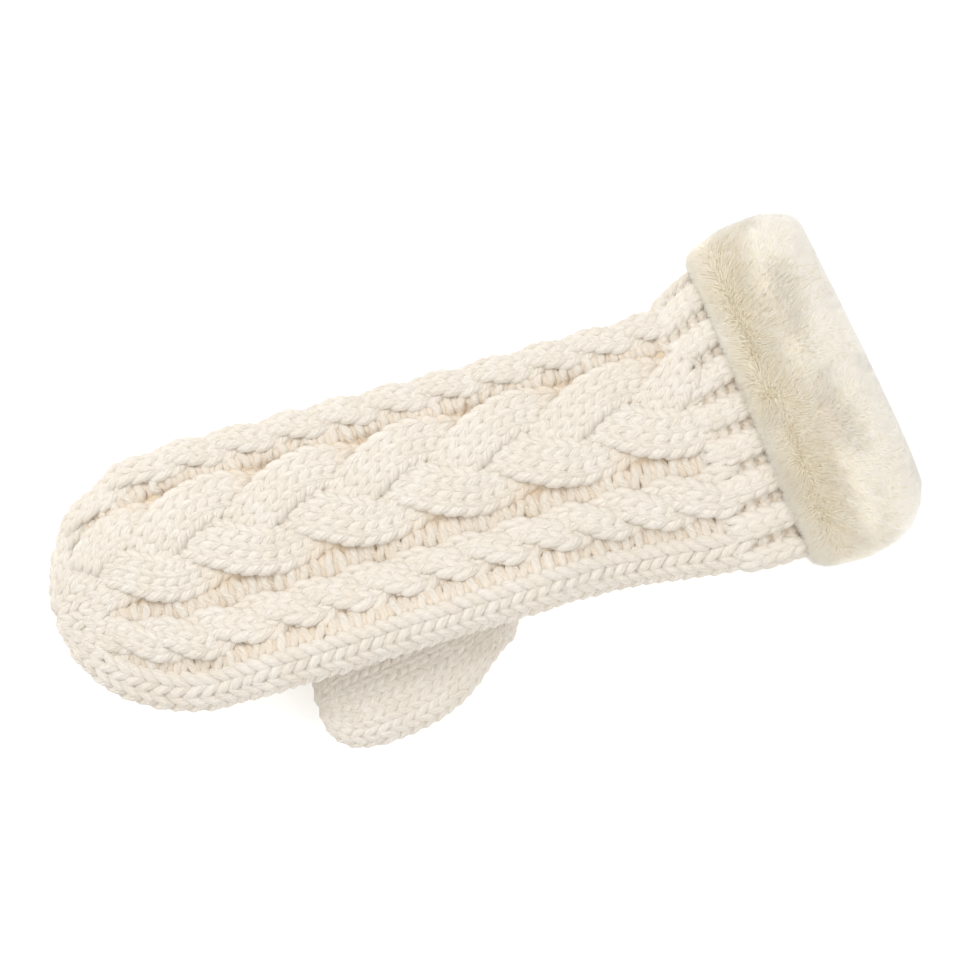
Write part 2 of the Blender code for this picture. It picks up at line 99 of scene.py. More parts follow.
# %% Camera
VIEW_CENTRE = Vector((4.3, 7.9, 20.0)) * MM
VIEW_WIDTH = 336.0 * MM
VIEW_HEIGHT = 2.4
VIEW_TURN = math.radians(-16)

eye = bpy.data.cameras.new("eye")
eye.sensor_width = 36.0
eye.lens = eye.sensor_width * VIEW_HEIGHT / VIEW_WIDTH
eye.clip_start, eye.clip_end = 0.1, 20.0
camera = bpy.data.objects.new("camera", eye)
camera.location = VIEW_CENTRE + Vector((0.0, 0.0, VIEW_HEIGHT))
camera.rotation_euler = (0.0, 0.0, VIEW_TURN)
bpy.context.scene.collection.objects.link(camera)
bpy.context.scene.camera = camera
print("lens, mm:", round(eye.lens, 1))

# %% [markdown]
# Pale knitwear needs light that is soft but not flat. One large panel high on the upper left
# models the stitches, a second one on the right fills their shadows, and a pale sky does the
# rest. The plain view keeps the near-white floor and the ivory yarn apart. The floor lies a
# little under the frame, because the yarn's loops stand out from its plain solids.


# %% Light and floor
def area_light(name, place, size, power, target=VIEW_CENTRE):
    lamp = bpy.data.lights.new(name, "AREA")
    lamp.shape = "DISK"
    lamp.size = size
    lamp.energy = power
    made = bpy.data.objects.new(name, lamp)
    made.location = Vector(place)
    made.rotation_mode = "QUATERNION"
    made.rotation_quaternion = (Vector(place) - target).to_track_quat("Z", "Y")
    bpy.context.scene.collection.objects.link(made)
    return made


SKY_STRENGTH = 0.86
FLOOR_SIZE, FLOOR_GAP = 6.0, 1.4 * MM
bpy.context.scene.view_settings.view_transform = "Standard"
sky = bpy.data.worlds.new("sky")
sky.use_nodes = True
sky.node_tree.nodes["Background"].inputs["Color"].default_value = (1.0, 0.985, 0.965, 1.0)
sky.node_tree.nodes["Background"].inputs["Strength"].default_value = SKY_STRENGTH
bpy.context.scene.world = sky
area_light("key_panel", (-0.55, 0.75, 1.05), 0.7, 9.0)
area_light("fill_panel", (0.8, -0.5, 0.9), 0.9, 3.0)

bpy.ops.mesh.primitive_plane_add(size=FLOOR_SIZE, location=(0.0, 0.0, FRAME_BOX[0][2] - FLOOR_GAP))
floor = bpy.context.object
floor.name = "floor"
floor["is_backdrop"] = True
bpy.ops.object.select_all(action="DESELECT")

# %% [markdown]
# ## Finishes
# Every finish here is made of nodes, so it has no picture behind it. A few helpers keep the
# node trees short: one adds a node with its settings, one mixes two colours, one does a sum,
# and one reads an attribute of the mesh. They take a plain value or another node's output.


# %% Node helpers
def finish(name, roughness, **sockets):
    """A new material, its node tree and its shader, with plain values on the sockets."""
    material = bpy.data.materials.new(name)
    material.use_nodes = True
    tree = material.node_tree
    shader = tree.nodes["Principled BSDF"]
    shader.inputs["Roughness"].default_value = roughness
    for socket, value in sockets.items():
        shader.inputs[socket.replace("_", " ")].default_value = value
    return material, tree, shader


def node(tree, kind, inputs=(), **settings):
    """A node of that kind, with its settings made and its inputs filled or linked."""
    made = tree.nodes.new(kind)
    for name, value in settings.items():
        setattr(made, name, value)
    for socket, value in dict(inputs).items():
        if isinstance(value, bpy.types.NodeSocket):
            tree.links.new(value, made.inputs[socket])
        else:
            made.inputs[socket].default_value = value
    return made


def colour_mix(tree, part, first, second):
    """The output of a mix of two colours: all first at 0, all second at 1."""
    made = tree.nodes.new("ShaderNodeMix")
    made.data_type = "RGBA"
    for socket, value in ((made.inputs[0], part), (made.inputs[6], first), (made.inputs[7], second)):
        if isinstance(value, bpy.types.NodeSocket):
            tree.links.new(value, socket)
        else:
            socket.default_value = (*value, 1.0) if isinstance(value, tuple) else value
    return made.outputs[2]


def calc(tree, operation, *values):
    """The output of one sum."""
    made = tree.nodes.new("ShaderNodeMath")
    made.operation = operation
    for socket, value in zip(made.inputs, values):
        if isinstance(value, bpy.types.NodeSocket):
            tree.links.new(value, socket)
        else:
            socket.default_value = value
    return made.outputs[0]


def attribute(tree, name):
    """The output that reads one number for each point of the mesh."""
    return node(tree, "ShaderNodeAttribute", attribute_name=name).outputs["Fac"]


# %% [markdown]
# The yarn is a soft single ply: its fibres run along it in a loose twist. That needs a grain
# that goes with each strand wherever it bends, so it is read from the strand's own UV map.
# Wrapping the map's first direction round a circle lets the grain cross the map's seam
# unseen. Down between the loops the yarn is painted a warm shade, which an attribute of the
# mesh holds, and all of it glows faintly in its own colours: painted light that softens its shadows.

# %% Yarn
IVORY = (0.825, 0.777, 0.705)
CREAM = (0.785, 0.722, 0.630)
# The colour of the painted warm shade low down between the loops.
HOLLOW_SHADE_COLOUR = (0.760, 0.600, 0.420)
TWIST, STRETCH = 0.55, 0.55
GRAIN_SHARE, GRAIN_DARK = 0.45, 0.88
# A faint glow of the yarn in its own colours: painted light that softens its shadows.
YARN_GLOW = 0.12


def yarn_finish(name, light, warm):
    """Twisted fibres along the strand, darker in their furrows, with painted warm shade in the
    hollows.
    """
    material, tree, shader = finish(
        name, 0.85, Sheen_Weight=0.25, Specular_IOR_Level=0.15, Emission_Strength=YARN_GLOW
    )
    around_along = node(tree, "ShaderNodeUVMap", uv_map="strand")
    split = node(tree, "ShaderNodeSeparateXYZ", {"Vector": around_along.outputs[0]})
    twist = calc(tree, "MULTIPLY", split.outputs["Y"], TWIST)
    turn = calc(tree, "MULTIPLY", calc(tree, "ADD", split.outputs["X"], twist), 2 * math.pi)
    ring = node(tree, "ShaderNodeCombineXYZ", {
        "X": calc(tree, "COSINE", turn),
        "Y": calc(tree, "SINE", turn),
        "Z": calc(tree, "MULTIPLY", split.outputs["Y"], STRETCH),
    })
    fibres = node(tree, "ShaderNodeTexNoise", {
        "Vector": ring.outputs[0], "Scale": 3.0, "Detail": 4.0, "Roughness": 0.65
    })
    clumps = node(tree, "ShaderNodeTexNoise", {"Vector": ring.outputs[0], "Scale": 1.1, "Detail": 1.0})
    tone = colour_mix(tree, attribute(tree, "shade"), light, warm)
    grain = node(tree, "ShaderNodeMapRange", {"Value": fibres.outputs[0], 1: 0.35, 2: 0.62})
    darker = tuple(channel * GRAIN_DARK for channel in warm)
    tone = colour_mix(tree, calc(tree, "MULTIPLY", grain.outputs[0], GRAIN_SHARE), tone, darker)
    # Painted warm shade low down between the loops.
    tone = colour_mix(tree, attribute(tree, "deep"), tone, HOLLOW_SHADE_COLOUR)
    tree.links.new(tone, shader.inputs["Base Color"])
    # The same colours glow faintly: painted light.
    tree.links.new(tone, shader.inputs["Emission Color"])
    height = calc(tree, "ADD", fibres.outputs[0], calc(tree, "MULTIPLY", clumps.outputs[0], 0.6))
    bump = node(tree, "ShaderNodeBump", {"Height": height, "Strength": 0.9, "Distance": 0.0011})
    tree.links.new(bump.outputs[0], shader.inputs["Normal"])
    return material


YARN = yarn_finish("ivory_bulky_yarn", IVORY, CREAM)
print("yarn nodes:", len(YARN.node_tree.nodes))

# %% [markdown]
# Four matt finishes share one recipe: the card of the floor, the inner halves of the loops,
# the fleece and the skin side of the fur. None is looked at closely, but a little nap keeps
# them from looking like plastic. The card glows faintly, so that it stays white to its edges.


# %% Plain grounds
def cloth_finish(name, light, dark, scale, depth):
    """A matt cloth with a soft nap: noise at two sizes tints it and lifts it."""
    material, tree, shader = finish(name, 0.95, Sheen_Weight=0.4, Specular_IOR_Level=0.1)
    where = node(tree, "ShaderNodeTexCoord").outputs["Object"]
    nap = node(tree, "ShaderNodeTexNoise", {"Vector": where, "Scale": scale, "Detail": 6.0})
    patch = node(tree, "ShaderNodeTexNoise", {"Vector": where, "Scale": scale / 9})
    tone = colour_mix(tree, patch.outputs[0], light, dark)
    tree.links.new(tone, shader.inputs["Base Color"])
    bump = node(tree, "ShaderNodeBump", {"Height": nap.outputs[0], "Strength": 0.7, "Distance": depth})
    tree.links.new(bump.outputs[0], shader.inputs["Normal"])
    return material


CARD = cloth_finish("pale_card", (0.93, 0.93, 0.93), (0.92, 0.92, 0.92), 300.0, 0.02 * MM)
# The inner loops are the same ivory yarn; their darker tan is painted shade in the gaps between the
# stitches.
SHADED_INNER_LOOPS = cloth_finish("inner_loops", (0.78, 0.66, 0.51), (0.70, 0.57, 0.42), 900.0, 0.4 * MM)
FLEECE = cloth_finish("brushed_fleece", (0.86, 0.82, 0.74), (0.80, 0.75, 0.66), 1400.0, 0.8 * MM)
HIDE = cloth_finish("fur_hide", (0.74, 0.66, 0.54), (0.64, 0.55, 0.43), 1100.0, 0.2 * MM)
card_inputs = CARD.node_tree.nodes["Principled BSDF"].inputs
card_inputs["Emission Color"].default_value = (1.0, 1.0, 1.0, 1.0)
card_inputs["Emission Strength"].default_value = 0.30
floor.data.materials.append(CARD)
print("plain finishes:", [material.name for material in (CARD, SHADED_INNER_LOOPS, FLEECE, HIDE)])

# %% [markdown]
# ## The shape that everything follows
# The hand is one flattened tube. Its places are given by a station, the distance from the
# fingertips, and by a position round it: 0 at the thumb-side fold, 1 at the other fold, with
# the back of the hand between them, and on to 2 under the palm. The driving sizes are those
# of the frame.

# %% Sizes of the hand
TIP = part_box("finger_back_knit")[0].x
MIDDLE = JOINTS["finger_curl"].y
CURL_HEIGHT = 10.0 * MM
REST = JOINTS["finger_curl"].z - CURL_HEIGHT
HAND_WIDTH, HAND_THICK = 93.8 * MM, 28.0 * MM
CROWN = 52.5 * MM
KNIT_END = 256.0 * MM
CUFF_START, CUFF_END = KNIT_END + 0.3 * MM, KNIT_END + 44.0 * MM
MOUTH_ROUND, MOUTH_DRAW_THUMB, MOUTH_DRAW_FAR = 27 * MM, 14 * MM, 5 * MM
WRIST_WIDTH, FLARE_WIDTH, FLARE_THICK = 89.6 * MM, 104.8 * MM, 25.0 * MM
WRIST_TO_CUFF, RISE_TO_CUFF, FLARE_TO_CUFF = 71.0 * MM, 51.0 * MM, 28.0 * MM
BEND_TO_CUFF, BEND_LENGTH, BEND_ANGLE = 32.0 * MM, 32.0 * MM, math.radians(7.5)
SECTION_POWER = 2.6
TIP_DROP = 0.28
PILE_UNDER = 6.0 * MM
YARN_DEPTH = 2.7 * MM

THUMB_LENGTH, THUMB_WIDTH, THUMB_THICK = 69.0 * MM, 39.2 * MM, 15.6 * MM
THUMB_ROOT_WIDTH, THUMB_ROOT_THICK = 21.5 * MM, 11.6 * MM
THUMB_CROWN, THUMB_SWELL, THUMB_POWER = 20.0 * MM, 45.0 * MM, 2.4
THUMB_HEADING = math.radians(23)
THUMB_PIVOT = Vector((JOINTS["thumb_swing"].x - TIP, JOINTS["thumb_swing"].y - MIDDLE, 0.0))
LIFT_BAND, LIFT_SHIFT, LIFT_SPARE = 18.0 * MM, 10.0 * MM, 3.0 * MM
LIFT_RAMP, LIFT_LEAD = 33.0 * MM, 4.0 * MM
GUSSET_LENGTH, GUSSET_RISE = 19.0 * MM, 7.0 * MM
print("fingertips at x, mm:", round(TIP / MM, 2))
print("thumb pivot from there, mm:", [round(value / MM, 1) for value in THUMB_PIVOT])

# %% [markdown]
# The outline swells and narrows along the hand, so each size is a soft step between two
# values. The hand narrows to the wrist, flares to the cuff, and the cuff draws in again at
# its mouth. Past the wrist the whole tube turns a little to one side. Nothing is cut to an
# outline: every piece is made from these few curves, so the layers always fit each other.


# %% Curves of the hand
def smooth(value, low, high):
    """A soft step: 0 below the low value, 1 over the high one."""
    part = np.clip((value - low) / (high - low), 0.0, 1.0)
    return part * part * (3.0 - 2.0 * part)


def mix(low, high, part):
    """From the low value at part 0 to the high one at part 1."""
    return low + (high - low) * part


def arch(part, power):
    """Height of a superellipse: 1 in the middle, 0 at its end."""
    return np.maximum(0.0, 1.0 - np.minimum(1.0, np.abs(part)) ** power) ** (1.0 / power)


def mouth_draw(station, side):
    """How far the cuff draws in towards its mouth, at the ends of its flattened ring."""
    near_mouth = np.clip((station - CUFF_END + MOUTH_ROUND) / MOUTH_ROUND, 0.0, 1.0)
    most = np.where(side > 0, MOUTH_DRAW_FAR, MOUTH_DRAW_THUMB)
    return most * (1.0 - np.sqrt(1.0 - 0.98 * near_mouth**2))


def half_width(station, side):
    """The flare starts sooner on the thumb side, where the wrist is longer."""
    flare_start = np.where(side > 0, KNIT_END - FLARE_TO_CUFF, KNIT_END - WRIST_TO_CUFF)
    hand = mix(HAND_WIDTH, WRIST_WIDTH, smooth(station, CROWN, KNIT_END - WRIST_TO_CUFF))
    wide = 0.5 * mix(hand, FLARE_WIDTH, smooth(station, flare_start, KNIT_END))
    return wide - mouth_draw(station, side)


def half_thick(station):
    part = smooth(station, KNIT_END - WRIST_TO_CUFF, KNIT_END)
    return 0.5 * mix(HAND_THICK, FLARE_THICK, part)


def middle_height(station):
    """Height of the tube's middle: low at the fingertips, lifted by the pile at the cuff."""
    crown = np.maximum(0.0, 1.0 - station / CROWN)
    hand = 0.5 * HAND_THICK * (1.0 - TIP_DROP * crown**2)
    cuff = 0.5 * FLARE_THICK + PILE_UNDER
    return mix(hand, cuff, smooth(station, KNIT_END - RISE_TO_CUFF, KNIT_END))


def edge_lift(station, side):
    """The thumb lies under this edge of the hand and lifts it."""
    root = THUMB_PIVOT.x
    tip = root - THUMB_LENGTH * math.cos(THUMB_HEADING / 2)
    along = smooth(station, tip - LIFT_RAMP, tip - LIFT_LEAD)
    after = root + GUSSET_LENGTH
    along = along * (1.0 - smooth(station, after, after + LIFT_RAMP))
    whole = -THUMB_PIVOT.y + LIFT_SHIFT - 0.5 * THUMB_WIDTH
    return (THUMB_THICK - LIFT_SPARE) * along * smooth(-side, whole - LIFT_BAND, whole)


def place(station, side, up):
    """World points from stations, distances to the side and heights over the middle."""
    start = KNIT_END - BEND_TO_CUFF
    bent = np.clip(station - start, 0.0, BEND_LENGTH)
    turn = BEND_ANGLE * bent / BEND_LENGTH
    radius = BEND_LENGTH / BEND_ANGLE
    rest = np.maximum(station - start - BEND_LENGTH, 0.0)
    x = np.minimum(station, start) + radius * np.sin(turn) + rest * np.cos(turn)
    y = radius * (1.0 - np.cos(turn)) + rest * np.sin(turn)
    z = up + middle_height(station) + edge_lift(station, side)
    x, y = x - side * np.sin(turn), y + side * np.cos(turn)
    return np.stack([x + TIP, y + MIDDLE, z + REST], axis=-1)


for label, station in (("palm", CROWN), ("wrist", KNIT_END - WRIST_TO_CUFF), ("cuff", KNIT_END)):
    widths = [float(half_width(station, side)) for side in (-1.0, 1.0)]
    print(label, "width, mm:", round(sum(widths) / MM, 1))

# %% [markdown]
# The section is a flattened ring with full, round folds. Stitches keep their width as they go
# round those folds, so their places are measured along the section and not straight across
# it. A table turns one into the other, as a tape laid round the hand would.

# %% Positions round the hand
FOLD_STEPS = 2001
fold = np.linspace(math.pi, 0.0, FOLD_STEPS)
fold_side = np.sign(np.cos(fold)) * np.abs(np.cos(fold)) ** (2 / SECTION_POWER)
fold_up = np.sin(fold) ** (2 / SECTION_POWER)
fold_steps = np.hypot(
    np.diff(fold_side) * (0.5 * HAND_WIDTH - YARN_DEPTH),
    np.diff(fold_up) * (0.5 * HAND_THICK - YARN_DEPTH),
)
fold_arc = np.concatenate([[0.0], np.cumsum(fold_steps)])
HALF_ROUND = fold_arc[-1]
fold_arc /= HALF_ROUND
print("half way round the hand, mm:", round(HALF_ROUND / MM, 1))


def fold_place(around):
    """Share of the half width (-1 to 1) and whether it is the back (1) or the palm (-1)."""
    around = np.mod(around, 2.0)
    half = np.where(around <= 1.0, 1.0, -1.0)
    arc = np.where(around <= 1.0, around, 2.0 - around)
    angle = np.interp(arc, fold_arc, fold)
    side = np.sign(np.cos(angle)) * np.abs(np.cos(angle)) ** (2 / SECTION_POWER)
    return side, half * np.sin(angle) ** (2 / SECTION_POWER), half


# %% [markdown]
# In the rounded fingertip end the columns of stitches close in on one point, and the outer
# ones follow the outline. The thumb ends in the same way, only narrower and squarer, so both
# share these two curves.


# %% Rounded ends
CROWN_POWER = 2.0
MIDDLE_GATHER = 0.55


def crown_place(side, part, power):
    """In a rounded end: distance from its tip and from the middle, as shares."""
    turn = part * math.pi / 2
    edge = 1.0 - np.cos(turn) ** (2 / power)
    along = mix(part, edge, side * side)
    gather = mix(MIDDLE_GATHER, 1.0, side * side) * 2 / power
    return along, side * np.sin(turn) ** gather


def section_height(along, across, power):
    """Share of the full thickness, in a rounded end, at those shares of its size."""
    wide = arch(1.0 - along, power)
    return np.sqrt(wide) * arch(across / np.maximum(wide, 1e-6), SECTION_POWER)


for side in (0.0, 0.5, 1.0):
    along, across = crown_place(side, 0.5, CROWN_POWER)
    print("column at", side, "half way through the rounded end:", round(float(across), 2))

# %% [markdown]
# Now the hand has a surface. Everything on it is laid by where it is round the hand, how far
# it is from the fingertips, and how deep it lies under the outline: yarn, ground and fleece
# are the same surface at three depths.


# %% Surface of the hand
PROBE, PROBE_ROUND = 0.3 * MM, 0.004


def hand_base(around, station, depth):
    """Points round the hand at a depth under its outline, closed in at the fingertips."""
    side, up, half = fold_place(around)
    thick = half_thick(station) - depth
    in_crown = station < CROWN
    part = np.clip(station / CROWN, 1e-4, 1.0)
    along, across = crown_place(side, part, CROWN_POWER)
    height = section_height(along, across, CROWN_POWER)
    flat = half_width(station, side) - depth
    new_station = np.where(in_crown, depth + (CROWN - depth) * along, station)
    new_side = np.where(in_crown, (0.5 * HAND_WIDTH - depth) * across, flat * side)
    new_up = np.where(in_crown, half * (0.5 * HAND_THICK - depth) * height, thick * up)
    return place(new_station, new_side, new_up)


def on_surface(base, around, station, height, depth):
    """Points at a height over a base surface, and the way that surface faces."""
    towards_cuff = base(around, station + PROBE, depth) - base(around, station - PROBE, depth)
    round_it = base(around + PROBE_ROUND, station, depth) - base(around - PROBE_ROUND, station, depth)
    out = np.cross(towards_cuff, round_it)
    out /= np.maximum(np.linalg.norm(out, axis=-1, keepdims=True), 1e-12)
    return base(around, station, depth) + out * height[..., None], out


ridge = hand_base(np.array([0.5]), np.array([KNIT_END / 2]), 0.0)[0]
print("top of the hand, half way along, mm:", [round(float(value) / MM, 1) for value in ridge])

# %% [markdown]
# The thumb is a tube of its own. It leaves its root narrow, swells, and ends round, and it
# points a little away from the hand. Its line is an arc, because a straight one would look
# like a peg. Behind the root it climbs into the palm, where the gusset joins it.


# %% Surface of the thumb
THUMB_HIDDEN, THUMB_PINCH, THUMB_ASIDE = 12.0 * MM, 0.3, 4.0 * MM
THUMB_FULLER, THUMB_FULLEST, THUMB_FULL_REACH = 3.0 * MM, 22.0 * MM, 15.0 * MM


def thumb_base(around, station, depth):
    """As hand_base, on the thumb: its station is the distance from the thumb's tip."""
    side, up, half = fold_place(around)
    straight = THUMB_LENGTH - np.maximum(station, THUMB_CROWN)
    swell = smooth(straight, 0.0, THUMB_SWELL)
    hidden = smooth(-straight, 0.0, THUMB_HIDDEN)
    wide = 0.5 * mix(THUMB_ROOT_WIDTH, THUMB_WIDTH, swell) * (1.0 - THUMB_PINCH * hidden) - depth
    thick = 0.5 * mix(THUMB_ROOT_THICK, THUMB_THICK, swell) - depth
    part = np.clip(station / THUMB_CROWN, 1e-4, 1.0)
    along, across = crown_place(side, part, THUMB_POWER)
    height = section_height(along, across, THUMB_POWER)
    in_crown = station < THUMB_CROWN
    reach = np.where(in_crown, depth + (THUMB_CROWN - depth) * along, station)
    bulge = np.exp(-(((straight - THUMB_FULLEST) / THUMB_FULL_REACH) ** 2))
    fuller = THUMB_FULLER * bulge * np.minimum(side, 0.0)
    new_side = np.where(in_crown, wide * across, wide * side + fuller)
    new_up = np.where(in_crown, half * thick * height, thick * up)
    return place_thumb(THUMB_LENGTH - reach, new_side + THUMB_ASIDE * hidden, new_up)


def place_thumb(along, side, up):
    """The thumb's line is an arc that starts at its pivot and heads away from the hand."""
    radius = THUMB_LENGTH / THUMB_HEADING
    heading = THUMB_HEADING * (1.0 - along / THUMB_LENGTH)
    x = THUMB_PIVOT.x - radius * (math.sin(THUMB_HEADING) - np.sin(heading))
    y = THUMB_PIVOT.y - radius * (np.cos(heading) - math.cos(THUMB_HEADING))
    x, y = x - side * np.sin(heading), y + side * np.cos(heading)
    rise = 0.5 * THUMB_THICK + GUSSET_RISE * smooth(-along, 0.0, GUSSET_LENGTH)
    return np.stack([x + TIP, y + MIDDLE, up + rise + REST], axis=-1)


thumb_tip = thumb_base(np.array([0.5]), np.array([0.0]), 0.0)[0]
print("tip of the thumb, mm:", [round(float(value) / MM, 1) for value in thumb_tip])

# %% [markdown]
# ## From paths to yarn
# Every loop of the knitting is real geometry: one strand of yarn swept along a path. A curve
# with a round bevel could do it, but a few thousand loops are quicker as one mesh, and the
# sweep can also write the strand's UV map and its shading attributes.


# %% Sweep
STRAND_UNIT = 10 * MM


class Strands:
    """Collects swept strands, then makes one mesh of them."""

    def __init__(self, sides):
        self.sides = sides
        self.points, self.faces, self.uvs = [], [], []
        self.shade, self.deep = [], []
        self.caps = []
        self.count = 0

    def add(self, path, facing, radius, shade, deep):
        """Sweeps one strand along a path. Facing is the way that its top looks."""
        steps = len(path)
        ahead = np.gradient(path, axis=0)
        ahead /= np.linalg.norm(ahead, axis=1, keepdims=True)
        across = np.cross(facing, ahead)
        across /= np.maximum(np.linalg.norm(across, axis=1, keepdims=True), 1e-9)
        up = np.cross(ahead, across)
        turn = np.linspace(0.0, 2 * math.pi, self.sides, endpoint=False)
        ring = (
            across[:, None, :] * np.cos(turn)[None, :, None]
            + up[:, None, :] * np.sin(turn)[None, :, None]
        )
        points = (path[:, None, :] + ring * radius[:, None, None]).reshape(-1, 3)
        length = np.concatenate([[0.0], np.cumsum(np.linalg.norm(np.diff(path, axis=0), axis=1))])
        self.points.append(points)
        row, step = np.meshgrid(np.arange(steps - 1), np.arange(self.sides), indexing="ij")
        row, step = row.ravel(), step.ravel()
        after = (step + 1) % self.sides
        near, far = row * self.sides + self.count, (row + 1) * self.sides + self.count
        self.faces.append(np.stack([near + step, near + after, far + after, far + step], axis=1))
        u, v = step / self.sides, length[row] / STRAND_UNIT
        u_after, v_after = (step + 1) / self.sides, length[row + 1] / STRAND_UNIT
        corners = [(u, v), (u_after, v), (u_after, v_after), (u, v_after)]
        self.uvs.append(np.stack([np.stack(corner, axis=1) for corner in corners], axis=1))
        self.shade.append(np.repeat(shade, self.sides))
        # How much painted hollow shade each point gets.
        self.deep.append(np.repeat(deep, self.sides))
        self.caps.append((self.count, self.count + (steps - 1) * self.sides))
        self.count += steps * self.sides

    def mesh(self, name):
        """One mesh of all the strands, with closed ends."""
        quads = np.concatenate(self.faces)
        uvs = np.concatenate(self.uvs).reshape(-1, 2)
        caps = []
        for first, last in self.caps:
            caps.append(np.arange(first + self.sides - 1, first - 1, -1))
            caps.append(np.arange(last, last + self.sides))
        caps = np.array(caps)
        made = bpy.data.meshes.new(name)
        made.vertices.add(self.count)
        made.vertices.foreach_set("co", np.concatenate(self.points).astype(np.float32).ravel())
        loops = np.concatenate([quads.ravel(), caps.ravel()])
        made.loops.add(len(loops))
        made.loops.foreach_set("vertex_index", loops.astype(np.int32))
        made.polygons.add(len(quads) + len(caps))
        starts = np.concatenate([
            np.arange(len(quads)) * 4,
            len(quads) * 4 + np.arange(len(caps)) * self.sides,
        ])
        made.polygons.foreach_set("loop_start", starts.astype(np.int32))
        made.update(calc_edges=True)
        made.validate()
        layer = made.uv_layers.new(name="strand")
        flat = np.zeros((len(loops), 2))
        flat[: len(uvs)] = uvs
        layer.data.foreach_set("uv", flat.astype(np.float32).ravel())
        set_tones(made, shade=np.concatenate(self.shade), deep=np.concatenate(self.deep))
        made.shade_smooth()
        return made


def set_tones(mesh, **fields):
    """Writes one number for each point under each name, for the finish to read."""
    for label, values in fields.items():
        kept = mesh.attributes.new(label, "FLOAT", "POINT")
        kept.data.foreach_set("value", np.asarray(values, np.float32))


def add_piece(mesh, material):
    """An object for a finished mesh, with its finish."""
    made = bpy.data.objects.new(mesh.name, mesh)
    made.data.materials.append(material)
    bpy.context.scene.collection.objects.link(made)
    return made


def triangles(obj):
    return sum(len(face.vertices) - 2 for face in obj.data.polygons)


# %% [markdown]
# ## A row of knitting
# In a knit stitch the yarn comes forward up one leg of the loop, goes behind over its head
# and comes forward again down the other leg. A sine and two cosines draw that path. A purl
# stitch is the same loop seen from behind, so its heights and the yarn's swelling change sign.
# Rows are counted from the cuff, where the knitting starts, towards the fingertips.

# %% One row of loops
SEGMENTS = 14
LOOP_REACH = 1.0
LOOP_SWAY = 2.0
LOOP_DEPTH = 1.15 * MM
YARN_RADIUS = 1.95 * MM
SIDE_EASE = 0.18
SWELL_MEAN, SWELL_SHARE = 0.90, 0.16
UNEVEN_ACROSS, UNEVEN_ALONG, UNEVEN_HEIGHT, UNEVEN_SWELL = 0.05, 0.06, 0.35 * MM, 0.05
# Painted warm shade between the loops: its most, and the heights over which it fades.
HOLLOW_SHADE_MOST, HOLLOW_SHADE_LOW, HOLLOW_SHADE_HIGH = 0.55, -2.2 * MM, 0.6 * MM
KNIT, PURL = 1.0, -1.0
chance = np.random.RandomState(11)


def wander(count, amount):
    """A knitter's unevenness: one random step for each place between two stitches."""
    return chance.uniform(-amount, amount, count + 1)


def row_of_loops(row, faces, depth=LOOP_DEPTH):
    """Across (in stitches), row, height, radius factor and shade along one row of loops."""
    faces = np.asarray(faces, float)
    count = len(faces)
    turn = np.linspace(0.0, 2 * math.pi * count, count * SEGMENTS + 1)
    stitch = np.minimum((turn / (2 * math.pi)).astype(int), count - 1)
    place_in = turn / (2 * math.pi) - stitch
    sides = np.concatenate([[faces[0]], 0.5 * (faces[1:] + faces[:-1]), [faces[-1]]])
    start = 1.0 - smooth(place_in, 0.0, SIDE_EASE)
    end = smooth(place_in, 1.0 - SIDE_EASE, 1.0)
    face = faces[stitch] * (1 - start - end) + sides[stitch] * start + sides[stitch + 1] * end
    knots = np.arange(count + 1)
    passed = turn / (2 * math.pi)
    across = passed + LOOP_SWAY / (2 * math.pi) * np.sin(2 * turn)
    across = across + np.interp(passed, knots, wander(count, UNEVEN_ACROSS))
    along = row - LOOP_REACH * np.cos(turn) + np.interp(passed, knots, wander(count, UNEVEN_ALONG))
    height = -face * depth * np.cos(2 * turn)
    height = height + np.interp(passed, knots, wander(count, UNEVEN_HEIGHT))
    swell = SWELL_MEAN - SWELL_SHARE * np.cos(2 * turn) * face
    swell = swell * (1.0 + np.interp(passed, knots, wander(count, UNEVEN_SWELL)))
    shade = np.interp(passed, knots, 0.5 + wander(count, 0.5))
    return across, along, height, swell, shade


def deep_tint(height):
    """How much painted warm shade the yarn gets at a height: strong low down between the loops."""
    return HOLLOW_SHADE_MOST * (1.0 - smooth(height, HOLLOW_SHADE_LOW, HOLLOW_SHADE_HIGH))


print("points on a stitch:", SEGMENTS, "yarn across, mm:", round(2 * SWELL_MEAN * YARN_RADIUS / MM, 2))

# %% [markdown]
# ## The pattern
# The back of the hand carries, from the thumb side: two plain columns, a ditch of purl, a
# small rope, another ditch, the wide plait, a narrow ditch and a second rope at the far fold.
# The palm is plain. Each panel has its number of stitches, its width round the hand in
# millimetres, and how it gives way in the rounded end, where the plain edge keeps its width
# longest. A ditch also reaches a little under its neighbours, as shares of its own width.

# %% Panels and rows
PANELS = (
    ("edge", 2, 16.0, -0.9),
    ("ditch", 2, 6.5, 0.5),
    ("rope", 4, 16.0, 0.0),
    ("ditch", 2, 6.3, 0.5),
    ("plait", 9, 43.0, 0.0),
    ("ditch", 1, 4.2, 0.5),
    ("rope", 4, 12.0, 0.0),
)
EDGE, THUMB_ROPE, PLAIT, FAR_ROPE = 0, 2, 4, 6
DITCHES = {1: (0.4, 0.5), 3: (0.5, 1.2), 5: (1.7, 0.5)}
PALM_STITCHES = 13
STRAIGHT_ROWS = 44
CROWN_ROWS = 12.8
RIB_ROWS = 4
CLOSING_ROW = STRAIGHT_ROWS + 9
LAST_ROW = STRAIGHT_ROWS + 12
SPLIT_ROW = 22
ROW_PITCH = (KNIT_END - CROWN) / STRAIGHT_ROWS


